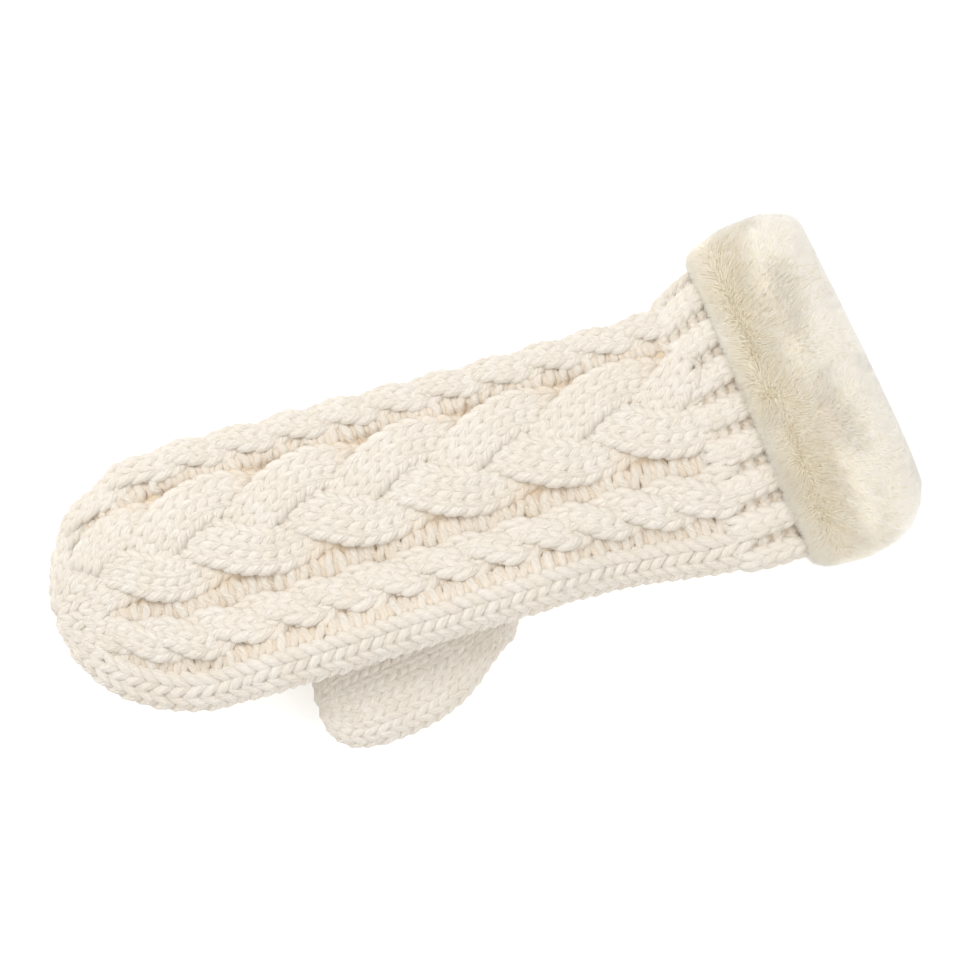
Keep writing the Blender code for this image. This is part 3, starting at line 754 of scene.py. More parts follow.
def row_station(row):
    """How far a row is from the fingertips."""
    straight = KNIT_END - row * ROW_PITCH
    crown = CROWN * (1.0 - (row - STRAIGHT_ROWS) / CROWN_ROWS)
    return np.where(row <= STRAIGHT_ROWS, straight, np.maximum(crown, 0.5 * MM))


def panel_edges(station):
    """Positions round the hand of the panels' edges on the back, one row for each edge."""
    close = np.sin(np.clip(station / CROWN, 0.0, 1.0) * math.pi / 2)
    widths = [width * (1.0 - give * (1.0 - close)) for _, _, width, give in PANELS]
    ends = np.concatenate([np.zeros((1, len(station))), np.cumsum(widths, axis=0)])
    return ends / ends[-1]


def close_scale(station):
    """How far the stitches shrink as the rounded end closes."""
    return np.sqrt(np.sin(np.clip(station / CROWN, 1e-4, 1.0) * math.pi / 2))


print("rows:", LAST_ROW + 1, "row pitch, mm:", round(ROW_PITCH / MM, 2))
print("stitches across the back:", sum(count for _, count, _, _ in PANELS))

# %% [markdown]
# A row is drawn flat first, in stitches and rows, and then laid on the hand. The plain edge
# columns fill their panel evenly. The ditches show the backs of the stitches, which look like
# the rungs of a ladder: two bars for each row, one high and one low. The palm, the rib at the
# cuff and the last rows are laid evenly over half of the way round.


# %% Lay a row on the hand
RUNG_STEPS, RUNG_RADIUS = 13, 0.90
RUNG_LEVELS = ((0.0, 0.3 * MM), (0.5, 1.0 * MM))
RUNG_INSIDE, RUNG_DIP, RUNG_SAG = 0.40, 3.2 * MM, 0.8 * MM
EDGE_TIP, RUNG_TIP, PALM_TIP = 0.80, 0.72, 0.72


def lay(strands, base, around, station, height, swell, shade, depth, radius):
    path, facing = on_surface(base, around, station, height, depth)
    strands.add(path, facing, radius * swell, shade, deep_tint(height))


def lay_edge(strands, row):
    """One row of the plain columns beside the thumb-side fold."""
    count = PANELS[EDGE][1]
    across, along, height, swell, shade = row_of_loops(row, [KNIT] * count)
    station = row_station(along)
    edges = panel_edges(station)
    around = edges[EDGE] + (edges[EDGE + 1] - edges[EDGE]) * across / count
    radius = YARN_RADIUS * mix(EDGE_TIP, 1.0, close_scale(station))
    lay(strands, hand_base, around, station, height, swell, shade, YARN_DEPTH, radius)


def lay_rungs(strands, row, panel):
    """The bars of yarn that cross a ditch, one high and one low for each row."""
    before, after = DITCHES[panel]
    share = np.linspace(-before, 1.0 + after, RUNG_STEPS)
    for level, drop in RUNG_LEVELS:
        lean, bow = chance.uniform(-0.35, 0.35), chance.uniform(-0.15, 0.15)
        rise = chance.uniform(-0.4, 0.3) * MM
        along = row + level + lean * (share - 0.5) + bow * np.sin(2 * math.pi * share)
        station = row_station(along)
        edges = panel_edges(station)
        around = edges[panel] + (edges[panel + 1] - edges[panel]) * share
        outside = np.maximum(0.0, np.abs(share - 0.5) - RUNG_INSIDE)
        height = rise - drop - RUNG_DIP * np.minimum(outside, 0.5) - RUNG_SAG * outside
        swell = np.full(len(share), chance.uniform(0.92, 1.08))
        shade = np.full(len(share), chance.uniform(0.1, 0.9))
        radius = RUNG_RADIUS * YARN_RADIUS * mix(RUNG_TIP, 1.0, close_scale(station))
        lay(strands, hand_base, around, station, height, swell, shade, YARN_DEPTH, radius)


def lay_even(strands, row, start, end, faces, widths=None, sink=0.0):
    """One row of stitches over a stretch of the way round, evenly or by their widths."""
    across, along, height, swell, shade = row_of_loops(row, faces)
    station = row_station(along)
    widths = np.ones(len(faces)) if widths is None else np.asarray(widths, float)
    knots = np.concatenate([[0.0], np.cumsum(widths)]) / widths.sum()
    share = np.interp(across, np.arange(len(faces) + 1), knots)
    middles = np.arange(len(faces)) + 0.5
    height = height + sink * np.interp(across, middles, np.asarray(faces, float))
    around = mix(start, end, share)
    radius = YARN_RADIUS * mix(PALM_TIP, 1.0, close_scale(station))
    lay(strands, hand_base, around, station, height, swell, shade, YARN_DEPTH, radius)


print("rungs in one row:", len(DITCHES) * len(RUNG_LEVELS))

# %% [markdown]
# A rope is two strands of two stitches that wind round each other, and the plait is three
# strands of three. Each strand's middle follows a wave across its panel, and it rides high
# where it comes over and low where it goes under. The stitches turn with the strand, which
# is what makes the leaves of a cable. A wale is the width of one stitch in the strand.

# %% Ropes and plait
ROPE_ROWS = 4.0
PLAIT_ROWS = 24.0
PLAIT_START = 57.0 * MM
WALE_RADIUS = 0.385
CABLE_TIP = 0.70
ROPES = (
    dict(panel=THUMB_ROPE, wale=5.0 * MM, swing=3.6 * MM, ride=(-1.2 * MM, 3.0 * MM)),
    dict(panel=FAR_ROPE, wale=4.4 * MM, swing=2.6 * MM, ride=(-1.2 * MM, 2.2 * MM)),
)
BRAID = dict(panel=PLAIT, wale=5.3 * MM, swing=12.8 * MM, ride=(-1.4 * MM, 3.0 * MM))


def rope_wave(row, strand):
    """Place across the panel (-1 to 1), its slope for a row, and height (-1 to 1)."""
    turn = math.pi * row / ROPE_ROWS + math.pi * strand
    return -np.cos(turn), math.pi / ROPE_ROWS * np.sin(turn), np.sin(turn)


def plait_wave(row, strand):
    """As rope_wave, for three strands that cross one after another."""
    shift = (KNIT_END - PLAIT_START) / ROW_PITCH
    turn = 2 * math.pi * ((row - shift) / PLAIT_ROWS + strand / 3.0)
    return np.sin(turn), 2 * math.pi / PLAIT_ROWS * np.cos(turn), -np.sin(2 * turn)


def lay_cable(strands, row, strand, ply, wave, crown, panel, wale, swing, ride):
    """One of a cable's strands in one row. Swing is how far its middle goes across."""
    _, count, width, _ = PANELS[panel]
    stitches = count // ply
    across, along, height, swell, shade = row_of_loops(row, [KNIT] * stitches)
    middle, slope, over = wave(along, strand)
    off = (across - 0.5 * stitches) * wale
    run = np.hypot(slope * swing, ROW_PITCH)
    station = row_station(along)
    scale = close_scale(station)
    station = station + off * (slope * swing / run) * scale
    side = middle * swing + off * (ROW_PITCH / run)
    edges = panel_edges(np.clip(station, 0.0, None))
    low, high = edges[panel], edges[panel + 1]
    around = low + (high - low) * (0.5 + side / (width * MM))
    lean = np.abs(off) / (0.5 * stitches * wale)
    height = height + (mix(ride[0], ride[1], 0.5 + 0.5 * over) - crown * lean**2) * scale
    radius = min(YARN_RADIUS, WALE_RADIUS * wale) * mix(CABLE_TIP, 1.0, scale)
    lay(strands, hand_base, around, station, height, swell, shade, YARN_DEPTH, radius)


print("rows from one crossing to the next:", ROPE_ROWS, "in a rope,", PLAIT_ROWS / 6, "in the plait")

# %% [markdown]
# The hand is knitted from the cuff to the fingertips, as the real one is. It starts with four
# rows of rib, two plain and two purl in turn, goes over to the pattern, and ends with a few
# rows of fewer stitches that close the tip. The front and the rear are separate meshes, and so
# are back and palm.


# %% Knit the hand
RIB_GROUPS = 8
RIB_WIDTHS = (3.9, 3.9, 3.1, 3.1)
RIB_SINK = 1.4 * MM
RIB_START = 0.7
CLOSING_BACK, CLOSING_PALM = 12, 8
YARN_SIDES = 8


def knit_row(back, palm, row):
    """One row all the way round: the back into one bundle of strands, the palm into another."""
    if row < RIB_ROWS:
        faces = [KNIT, KNIT, PURL, PURL] * RIB_GROUPS
        widths = list(RIB_WIDTHS) * RIB_GROUPS
        lay_even(back, row + RIB_START, 0.0, 1.0, faces, widths, RIB_SINK)
        lay_even(palm, row + RIB_START, 1.0, 2.0, faces, widths, RIB_SINK)
        return
    if row >= CLOSING_ROW:
        fewer = 2 if row >= CLOSING_ROW + 2 else 1
        lay_even(back, row, 0.0, 1.0, [KNIT] * (CLOSING_BACK // fewer))
        lay_even(palm, row, 1.0, 2.0, [KNIT] * (CLOSING_PALM // fewer))
        return
    lay_edge(back, row)
    for panel in DITCHES:
        lay_rungs(back, row, panel)
    for strand in range(2):
        for rope in ROPES:
            lay_cable(back, row, strand, ply=2, wave=rope_wave, crown=0.6 * MM, **rope)
    for strand in range(3):
        lay_cable(back, row, strand, ply=3, wave=plait_wave, crown=1.0 * MM, **BRAID)
    lay_even(palm, row, 1.0, 2.0, [KNIT] * PALM_STITCHES)


knitted = {}
for part, first, last in (("rear", 0, SPLIT_ROW), ("front", SPLIT_ROW, LAST_ROW + 1)):
    back_strands, palm_strands = Strands(YARN_SIDES), Strands(YARN_SIDES)
    for row in range(first, last):
        knit_row(back_strands, palm_strands, row)
    for side, strands in (("back", back_strands), ("palm", palm_strands)):
        piece = add_piece(strands.mesh(f"{side}_{part}_stitches"), YARN)
        knitted[side, part] = piece
        print(piece.name, "triangles:", triangles(piece))

# %% [markdown]
# ## The thumb
# The thumb is plain stocking stitch in the round, knitted a little tighter than the hand. It
# lies under the edge of the hand, so its root runs on into a gusset that climbs to the palm.

# %% Knit the thumb
THUMB_STITCHES = 8
THUMB_STRAIGHT_ROWS, THUMB_CROWN_ROWS = 13, 5.6
THUMB_START = -6.0 * MM
THUMB_PITCH = (THUMB_LENGTH - THUMB_CROWN - THUMB_START) / THUMB_STRAIGHT_ROWS
THUMB_RADIUS, THUMB_DEPTH = 1.72 * MM, 2.0 * MM
THUMB_LOOP_DEPTH, THUMB_FLATTEN = 1.0 * MM, 0.9
THUMB_TIGHT, THUMB_TIGHT_LENGTH = 0.86, 20 * MM
THUMB_CLOSING_ROWS, GUSSET_ROWS = 6, 4


def thumb_station(row):
    """How far a row is from the thumb's tip."""
    straight = THUMB_LENGTH - THUMB_START - row * THUMB_PITCH
    crown = THUMB_CROWN * (1.0 - (row - THUMB_STRAIGHT_ROWS) / THUMB_CROWN_ROWS)
    return np.where(row <= THUMB_STRAIGHT_ROWS, straight, np.maximum(crown, 0.4 * MM))


def lay_thumb(strands, row, stitches):
    """One row all the way round the thumb: its back, then its palm side."""
    for start in (0.0, 1.0):
        loops = row_of_loops(row, [KNIT] * stitches, depth=THUMB_LOOP_DEPTH)
        across, along, height, swell, shade = loops
        station = thumb_station(along)
        around = start + across / stitches
        closing = np.sin(np.clip(station / THUMB_CROWN, 0, 1) * math.pi / 2)
        leaving = smooth(THUMB_LENGTH - station, 0.0, THUMB_TIGHT_LENGTH)
        radius = THUMB_RADIUS * mix(THUMB_TIGHT, 1.0, closing) * mix(THUMB_TIGHT, 1.0, leaving)
        height = height * THUMB_FLATTEN
        lay(strands, thumb_base, around, station, height, swell, shade, THUMB_DEPTH, radius)


thumb_strands, gusset_strands = Strands(YARN_SIDES), Strands(YARN_SIDES)
thumb_rows = THUMB_STRAIGHT_ROWS + THUMB_CLOSING_ROWS
for row in range(thumb_rows):
    fewer = 2 if row == thumb_rows - 1 else 1
    lay_thumb(thumb_strands, row, THUMB_STITCHES // fewer)
for row in range(-GUSSET_ROWS, 0):
    lay_thumb(gusset_strands, row, THUMB_STITCHES)
thumb = add_piece(thumb_strands.mesh("thumb_stitches"), YARN)
gusset = add_piece(gusset_strands.mesh("thumb_gusset_stitches"), YARN)
print("thumb triangles:", triangles(thumb), "gusset triangles:", triangles(gusset))

# %% [markdown]
# The last loops of each end are drawn together by the yarn's own tail, which is pulled tight
# in a small ring inside the tip. Its size is that of the ring in the frame.


# %% Gathers
GATHER_STEPS, GATHER_TURN, GATHER_TUBE = 28, 0.98, 0.98


def gather_mesh(name, node_name):
    """A nearly closed ring of yarn, as large as that node of the frame."""
    low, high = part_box(node_name)
    middle, size = (low + high) / 2, high - low
    tube = size.x / 2
    ring = size.z / 2 - tube
    turn = np.linspace(0.0, 2 * math.pi * GATHER_TURN, GATHER_STEPS)
    facing = np.stack([np.zeros(GATHER_STEPS), np.cos(turn), np.sin(turn)], axis=1)
    path = np.array(middle)[None] + facing * ring
    strands = Strands(YARN_SIDES)
    even = np.full(GATHER_STEPS, 0.5)
    # The same half value sets the tail's tone and gives it half of the painted hollow shade.
    strands.add(path, facing, np.full(GATHER_STEPS, tube * GATHER_TUBE), even, even)
    return strands.mesh(name)


fingertip_gather = add_piece(gather_mesh("fingertip_tail", "fingertip_gather"), YARN)
thumb_tip_gather = add_piece(gather_mesh("thumb_tip_tail", "thumb_tip_gather"), YARN)
print("gather triangles:", triangles(fingertip_gather), triangles(thumb_tip_gather))

# %% [markdown]
# ## Linings and grounds
# Behind the stitches lie the inner halves of the loops, then the fleece. Both are sleeves: a
# grid of points round the hand on the outside, another on the inside, joined at their rims.
# A solidified tube would do for a straight stretch, but these walls have to follow the hand's
# own surface into its rounded end, so they are read from it.


# %% Sleeves
def sleeve_mesh(name, stations, outer, inner, steps=96, pole=False):
    """A closed wall between two surfaces. Outer and inner give the points of each."""
    around = np.linspace(0.0, 2.0, steps, endpoint=False)
    grids = []
    work = bmesh.new()
    for level in (outer, inner):
        rows = [level(around, np.full(steps, station)) for station in stations]
        grids.append([[work.verts.new(point) for point in row] for row in rows])
    out, inn = grids
    for row in range(len(stations) - 1):
        for step in range(steps):
            after = (step + 1) % steps
            work.faces.new((out[row][step], out[row + 1][step], out[row + 1][after], out[row][after]))
            work.faces.new((inn[row][after], inn[row + 1][after], inn[row + 1][step], inn[row][step]))
    for step in range(steps):
        after = (step + 1) % steps
        if not pole:
            work.faces.new((out[0][after], inn[0][after], inn[0][step], out[0][step]))
        work.faces.new((out[-1][step], inn[-1][step], inn[-1][after], out[-1][after]))
    if pole:
        work.faces.new(list(out[0]))
        work.faces.new(list(reversed(inn[0])))
    return closed_mesh(work, name)


def closed_mesh(work, name):
    """The finished mesh of a closed wall: faces outward and shaded smooth."""
    bmesh.ops.recalc_face_normals(work, faces=work.faces)
    made = bpy.data.meshes.new(name)
    work.to_mesh(made)
    work.free()
    made.shade_smooth()
    return made


def level_at(base, depth, texture=None):
    """Points at a depth under the outer surface of a base."""
    def points(around, station):
        height = np.zeros(len(around)) if texture is None else texture(around, station)
        return on_surface(base, around, station, height, depth)[0]

    return points


SPLIT_STATION = float(row_station(np.array(SPLIT_ROW - 0.5)))
print("front and rear meet at, mm from the fingertips:", round(SPLIT_STATION / MM, 1))

# %% [markdown]
# Seen through the gaps between the stitches, the inner halves of the loops are only a darker,
# bumpy layer, its tan colour painted shade. Real loops there would double the mesh for nothing,
# so a sleeve with small rounded bumps stands for them. It lies under the knitting.


# %% Inner halves of the loops
GROUND_OUT, GROUND_IN = 4.1 * MM, 5.6 * MM
BUMP_HEIGHT, BUMPS_ROUND = 0.5 * MM, 20


def crown_stations(first, last, count):
    """Stations through a rounded end, in millimetres from its tip."""
    return np.linspace(first, last, count) * MM


def purl_bumps(around, station):
    """The backs of the loops, as small rounded bumps."""
    across = np.sin(around * math.pi * BUMPS_ROUND)
    return BUMP_HEIGHT * across * np.sin(station / ROW_PITCH * 2 * math.pi)


front_stations = np.concatenate([crown_stations(1.5, 50, 20), np.linspace(54 * MM, SPLIT_STATION, 20)])
rear_stations = np.linspace(SPLIT_STATION, KNIT_END, 26)
sleeves = {}
for part, stations in (("front", front_stations), ("rear", rear_stations)):
    mesh = sleeve_mesh(
        f"inner_loops_{part}", stations,
        level_at(hand_base, GROUND_OUT, purl_bumps), level_at(hand_base, GROUND_IN),
        pole=part == "front",
    )
    sleeves["ground", part] = add_piece(mesh, SHADED_INNER_LOOPS)
    print(mesh.name, "faces:", len(mesh.polygons))

# %% [markdown]
# The fleece is a sewn bag of the hand's own shape. It lies a little under the loops all the
# way, comes up close under the fur's skin once it is past the knitting, and ends just inside
# the mouth of the cuff, where it is hemmed.


# %% Fleece lining
LINING_OUT, LINING_WALL, LINING_UNDER_FUR = 6.5 * MM, 2.1 * MM, 1.8 * MM
LINING_SETTLE, LINING_SETTLED = 0.6 * MM, 9 * MM
LINING_END = CUFF_END - 5.3 * MM


def lining_level(extra):
    """Points on the fleece, at its outer side or, with its wall as the extra, its inner one."""
    def points(around, station):
        settle = smooth(station, KNIT_END + LINING_SETTLE, KNIT_END + LINING_SETTLED)
        depth = mix(LINING_OUT, LINING_UNDER_FUR, settle) + extra
        return hand_base(around, station, depth)

    return points


lining_stations = {
    "front": np.concatenate([crown_stations(2, 50, 18), np.linspace(54 * MM, SPLIT_STATION, 14)]),
    "rear": np.concatenate([
        np.linspace(SPLIT_STATION, KNIT_END, 20), np.linspace(KNIT_END + MM, LINING_END, 16)
    ]),
}
for part, stations in lining_stations.items():
    mesh = sleeve_mesh(
        f"fleece_lining_{part}", stations, lining_level(0.0), lining_level(LINING_WALL),
        pole=part == "front",
    )
    sleeves["lining", part] = add_piece(mesh, FLEECE)
    print(mesh.name, "faces:", len(mesh.polygons))

# %% [markdown]
# The thumb has the same two layers, thinner, because there is less room in it. They reach a
# little past its root.

# %% Thumb lining
THUMB_STEPS = 64
THUMB_LINING_OUT, THUMB_LINING_IN = 4.0 * MM, 4.9 * MM
THUMB_GROUND_OUT, THUMB_GROUND_IN = 2.9 * MM, 3.7 * MM

mesh = sleeve_mesh(
    "fleece_lining_thumb", np.concatenate([crown_stations(2, 19, 8), crown_stations(21, 66, 14)]),
    level_at(thumb_base, THUMB_LINING_OUT), level_at(thumb_base, THUMB_LINING_IN),
    steps=THUMB_STEPS, pole=True,
)
thumb_lining = add_piece(mesh, FLEECE)
mesh = sleeve_mesh(
    "thumb_inner_loops", np.concatenate([crown_stations(1.5, 19, 9), crown_stations(21, 73, 16)]),
    level_at(thumb_base, THUMB_GROUND_OUT), level_at(thumb_base, THUMB_GROUND_IN),
    steps=THUMB_STEPS, pole=True,
)
thumb_ground = add_piece(mesh, SHADED_INNER_LOOPS)
print("thumb lining faces:", len(thumb_lining.data.polygons))

# %% [markdown]
# ## The fur cuff
# Fur is skin with hair on it. The skin is a plain strip sewn to the knitting, and the pile
# stands on it, high in the middle of the strip and rounded down to both its edges. Skin,
# pile and seams all read their places from one function: an angle round the cuff, a part
# along the strip, and a height over the skin.


# %% Fur shapes
PILE, PILE_EDGE, PILE_POWER = 11.2 * MM, 1.0 * MM, 2.5
MOUTH_SLANT = 2.8 * MM


def pile_place(angle, part, height):
    """A point in the pile: angle round the cuff, part -1 to 1 along it, height over the skin."""
    cosine, sine = np.cos(angle), np.sin(angle)
    mouth = CUFF_END - MOUTH_SLANT * smooth(cosine, -0.6, 0.9)
    station = mix(CUFF_START, mouth, 0.5 + 0.5 * part)
    wide = half_width(station, cosine) + height
    thick = half_thick(station) + height
    across = wide * np.sign(cosine) * np.abs(cosine) ** (2 / SECTION_POWER)
    up = thick * np.sign(sine) * np.abs(sine) ** (2 / SECTION_POWER)
    return place(station, across, up)


def pile_full(angle):
    """How high the pile stands: full on top and pressed flatter underneath."""
    return mix(PILE, PILE_UNDER, np.maximum(0.0, -np.sin(angle))) - PILE_EDGE


def bow_part(bow):
    """Along the strip, for a turn over its rounded section, and how high the pile is there."""
    part = np.sign(np.sin(bow)) * np.abs(np.sin(bow)) ** (2 / PILE_POWER)
    return part, np.abs(np.cos(bow)) ** (2 / PILE_POWER)


print("pile on top, mm:", round(float(pile_full(math.pi / 2)) / MM, 1))

# %% [markdown]
# This fur is cream with warm patches beside the knitting, a greyer band along its middle and
# nearly white tips towards the mouth. The warm patches are partly the fur's own tone and partly
# painted shade where the fur meets the knitting; the grey band is painted shade of the creases in
# the pile, and the roots are painted darker for the shade deep in it. The finish mixes those
# colours by attributes of the hairs, so each hair has a tone of its own. All of the fur also
# glows a little, the pale part most: painted light, as thin pale hair has with light behind it.


# %% Fur finish
# The warm tint is partly the fur's own tone and partly painted shade beside the knitting; the grey is
# painted shade of the creases along the middle of the strip.
FUR_LIGHT, FUR_WARM_AND_SHADE, FUR_CREASE_SHADE = (0.98, 0.95, 0.89), (0.88, 0.80, 0.62), (0.84, 0.79, 0.71)
# Roots painted darker: shade deep in the pile.
FUR_ROOT_SHADE = 0.93
# The fur's glow is painted light, strongest where the fur is palest.
FUR_GLOW, FUR_GLOW_LEAST = 0.21, 0.67


def fur_finish(name):
    material, tree, shader = finish(
        name, 0.8, Sheen_Weight=0.3, Specular_IOR_Level=0.15,
        Subsurface_Weight=0.5, Subsurface_Scale=0.002, Subsurface_Radius=(1.0, 0.85, 0.65),
    )
    # Warm tint: partly the fur's own tone, partly painted shade.
    tone = colour_mix(tree, attribute(tree, "warm"), FUR_LIGHT, FUR_WARM_AND_SHADE)
    # Painted crease shade along the middle of the strip.
    tone = colour_mix(tree, attribute(tree, "grey"), tone, FUR_CREASE_SHADE)
    # Painted shade towards the roots, deep in the pile.
    root = tuple(channel * FUR_ROOT_SHADE for channel in FUR_WARM_AND_SHADE)
    tone = colour_mix(tree, attribute(tree, "root"), tone, root)
    tree.links.new(tone, shader.inputs["Base Color"])
    tinted_and_shaded = calc(tree, "ADD", attribute(tree, "warm"), attribute(tree, "grey"))
    pale = calc(tree, "POWER", calc(tree, "SUBTRACT", 1.0, tinted_and_shaded), 3.0)
    share = calc(tree, "MULTIPLY_ADD", pale, 1 - FUR_GLOW_LEAST, FUR_GLOW_LEAST)
    glow = node(tree, "ShaderNodeVectorMath", {0: tone, "Scale": share}, operation="SCALE")
    tree.links.new(glow.outputs[0], shader.inputs["Emission Color"])
    shader.inputs["Emission Strength"].default_value = FUR_GLOW
    return material


FUR = fur_finish("cream_fur")
print("fur nodes:", len(FUR.node_tree.nodes))

# %% [markdown]
# Real fur is never even: its tone drifts in patches, its hairs part and lean together. Each
# of these needs a value that changes smoothly over the cuff, so a few waves in random
# directions are added up for each. The seeds are fixed, so the fur is the same every time.


# %% Drifts in the fur
def ripple(seed, count, long_wave):
    """A smooth random field over the cuff, mostly from -1 to 1, made of a few waves."""
    pick = np.random.RandomState(seed)
    waves = [(pick.uniform(-1, 1, 3) / long_wave, pick.uniform(0, 2 * math.pi)) for _ in range(count)]

    def field(points):
        total = sum(np.sin(2 * math.pi * points @ direction + phase) for direction, phase in waves)
        return total / math.sqrt(count)

    return field


# The patches drift both the fur's own warm tone and its painted crease shade.
fur_patches = ripple(3, 7, 22 * MM)
fur_streaks = ripple(4, 9, 6 * MM)
lean_round = ripple(5, 7, 18 * MM)
lean_along = ripple(6, 7, 15 * MM)
tuft_field = ripple(8, 12, 5 * MM)


def fur_tints_and_shade(points, part):
    """Warm and grey shares of the fur: warm by the knitting, partly its own tone and partly painted
    shade; grey along the middle, painted shade of its creases.
    """
    patch, streak = fur_patches(points), fur_streaks(points)
    # Warm beside the knitting: partly the fur's own tone, partly painted shade.
    warm = 0.80 * (1 - smooth(part, -0.7, 0.40)) + 0.14 + 0.22 * patch + 0.12 * streak
    # Grey along the middle: painted shade of the creases.
    grey = 0.75 * np.exp(-(((part - 0.10) / 0.28) ** 2)) * (0.5 + 0.5 * patch) + 0.05 * streak
    white = smooth(part, 0.25, 0.65)
    return np.clip(warm * (1 - 0.8 * white), 0, 1), np.clip(grey * (1 - white), 0, 1)


sample = pile_place(np.linspace(0.0, math.pi, 5), np.full(5, -0.5), np.full(5, PILE))
print("warm shares beside the knitting:", np.round(fur_tints_and_shade(sample, np.full(5, -0.5))[0], 2))

# %% [markdown]
# The pile is so dense that its lower half is never seen, so a rounded ring stands for it and
# only the upper part is hair. The ring is made like a tyre: rows of points go over the crown
# of the strip from one edge to the other, and two more rows close it underneath.


# %% Fur body
BODY_ROWS, BODY_STEPS, BODY_HEIGHT = 28, 150, 0.74
BODY_EDGE, BODY_UNDER = 0.95, -1.3 * MM


def ring_mesh(rows, name):
    """A closed mesh from rings of points, the last one joined to the first."""
    work = bmesh.new()
    verts = [[work.verts.new(point) for point in row] for row in rows]
    steps = len(verts[0])
    for low, high in zip(verts, verts[1:] + verts[:1]):
        for step in range(steps):
            after = (step + 1) % steps
            work.faces.new((low[step], low[after], high[after], high[step]))
    return closed_mesh(work, name)


def fur_body():
    """The dense lower pile, as one closed ring."""
    angle = np.linspace(0, 2 * math.pi, BODY_STEPS, endpoint=False)
    rows, parts = [], []
    for bow in np.linspace(-math.pi / 2, math.pi / 2, BODY_ROWS):
        part, rise = bow_part(bow)
        parts.append(BODY_EDGE * float(part))
        level = BODY_HEIGHT * pile_full(angle) * rise
        rows.append(pile_place(angle, np.full(BODY_STEPS, parts[-1]), level))
    for part in (BODY_EDGE - 0.01, -BODY_EDGE):
        parts.append(part)
        rows.append(pile_place(angle, np.full(BODY_STEPS, part), np.full(BODY_STEPS, BODY_UNDER)))
    made = ring_mesh(rows, "fur_underpile")
    warm, grey = fur_tints_and_shade(np.concatenate(rows), np.repeat(parts, BODY_STEPS))
    # The lower pile gets a quarter of the painted root shade.
    set_tones(made, warm=warm, grey=grey, root=np.full(len(warm), 0.25))
    return made


underpile = add_piece(fur_body(), FUR)
print("fur body faces:", len(underpile.data.polygons))

# %% [markdown]
# The hairs grow out of the ring. Blender's own hair would be the usual way, but it doesn't
# leave the scene as a mesh, so these are meshes from the start: a hair has three sides, one
# bend and a point, ten triangles in all, because there are so many. They are strewn evenly
# along the ring's outline, lean a little towards the mouth, and over the seam they lean back
# onto the knitting. They are made in a few groups, so that no mesh grows too large.


# %% Hairs
HAIRS, HAIR_GROUPS = 100000, 6
HAIR_WIDTH, HAIR_THINNER = 0.115 * MM, 0.75
HAIR_SIDES, HAIR_POINTS = 3, 7
ROOT_HEIGHT, BEND_HEIGHT = 0.55, 0.86
LEAN_BACK, LEAN_ON = -0.17, 0.12
LONG_HAIRS, LONGER = 0.05, 0.10
HAIR_FACES = (
    (2, 1, 0), (0, 1, 4), (0, 4, 3), (1, 2, 5), (1, 5, 4), (2, 0, 3), (2, 3, 5),
    (3, 4, 6), (4, 5, 6), (5, 3, 6),
)


def hair_paths(pick, low, high, count):
    """Part along the strip, outer end, root, bend and tip of hairs over a stretch of the cuff."""
    around = pick.uniform(low, high, count)
    turn = np.interp(np.where(around <= 1.0, around, 2.0 - around), fold_arc, fold)
    angle = np.where(around <= 1.0, turn, -turn)
    part, rise = bow_part(pick.uniform(-1, 1, count) * math.pi / 2)
    height = pile_full(angle) * rise + PILE_EDGE
    outer = pile_place(angle, part, height)
    tuft = tuft_field(outer)
    lean = mix(LEAN_BACK, LEAN_ON, smooth(part, -0.92, -0.40))
    lean = lean + 0.03 * lean_along(outer) + pick.uniform(-0.035, 0.035, count)
    swing = 0.011 * lean_round(outer) + 0.006 * tuft + pick.uniform(-0.007, 0.007, count)
    long = 1.0 + 0.035 * tuft + pick.uniform(-0.07, 0.04, count)
    long = long + LONGER * (pick.uniform(0, 1, count) > 1 - LONG_HAIRS)
    root_part = np.clip(part - 0.5 * lean, -0.97, 0.97)
    root = pile_place(angle - 0.5 * swing, root_part, ROOT_HEIGHT * height)
    bend = pile_place(angle, np.clip(part, -1.0, 1.0), BEND_HEIGHT * height)
    tip = pile_place(angle + swing, np.clip(part + 0.8 * lean, -1.16, 1.03), height * long)
    return part, outer, root, bend, tip


def hair_points(pick, root, bend, tip):
    """Three corners round the root, three round the bend, and the tip of each hair."""
    count = len(root)
    ahead = tip - root
    facing = np.cross(ahead, pick.normal(size=(count, 3)))
    facing /= np.linalg.norm(facing, axis=1, keepdims=True)
    across = np.cross(ahead, facing)
    across /= np.linalg.norm(across, axis=1, keepdims=True)
    width = HAIR_WIDTH * pick.uniform(0.75, 1.25, count)
    rings = []
    for middle, thin in ((root, 1.0), (bend, HAIR_THINNER)):
        for corner in range(HAIR_SIDES):
            turn = 2 * math.pi * corner / HAIR_SIDES
            side = facing * math.cos(turn) + across * math.sin(turn)
            rings.append(middle + side * (width * thin)[:, None])
    return np.stack(rings + [tip], axis=1)


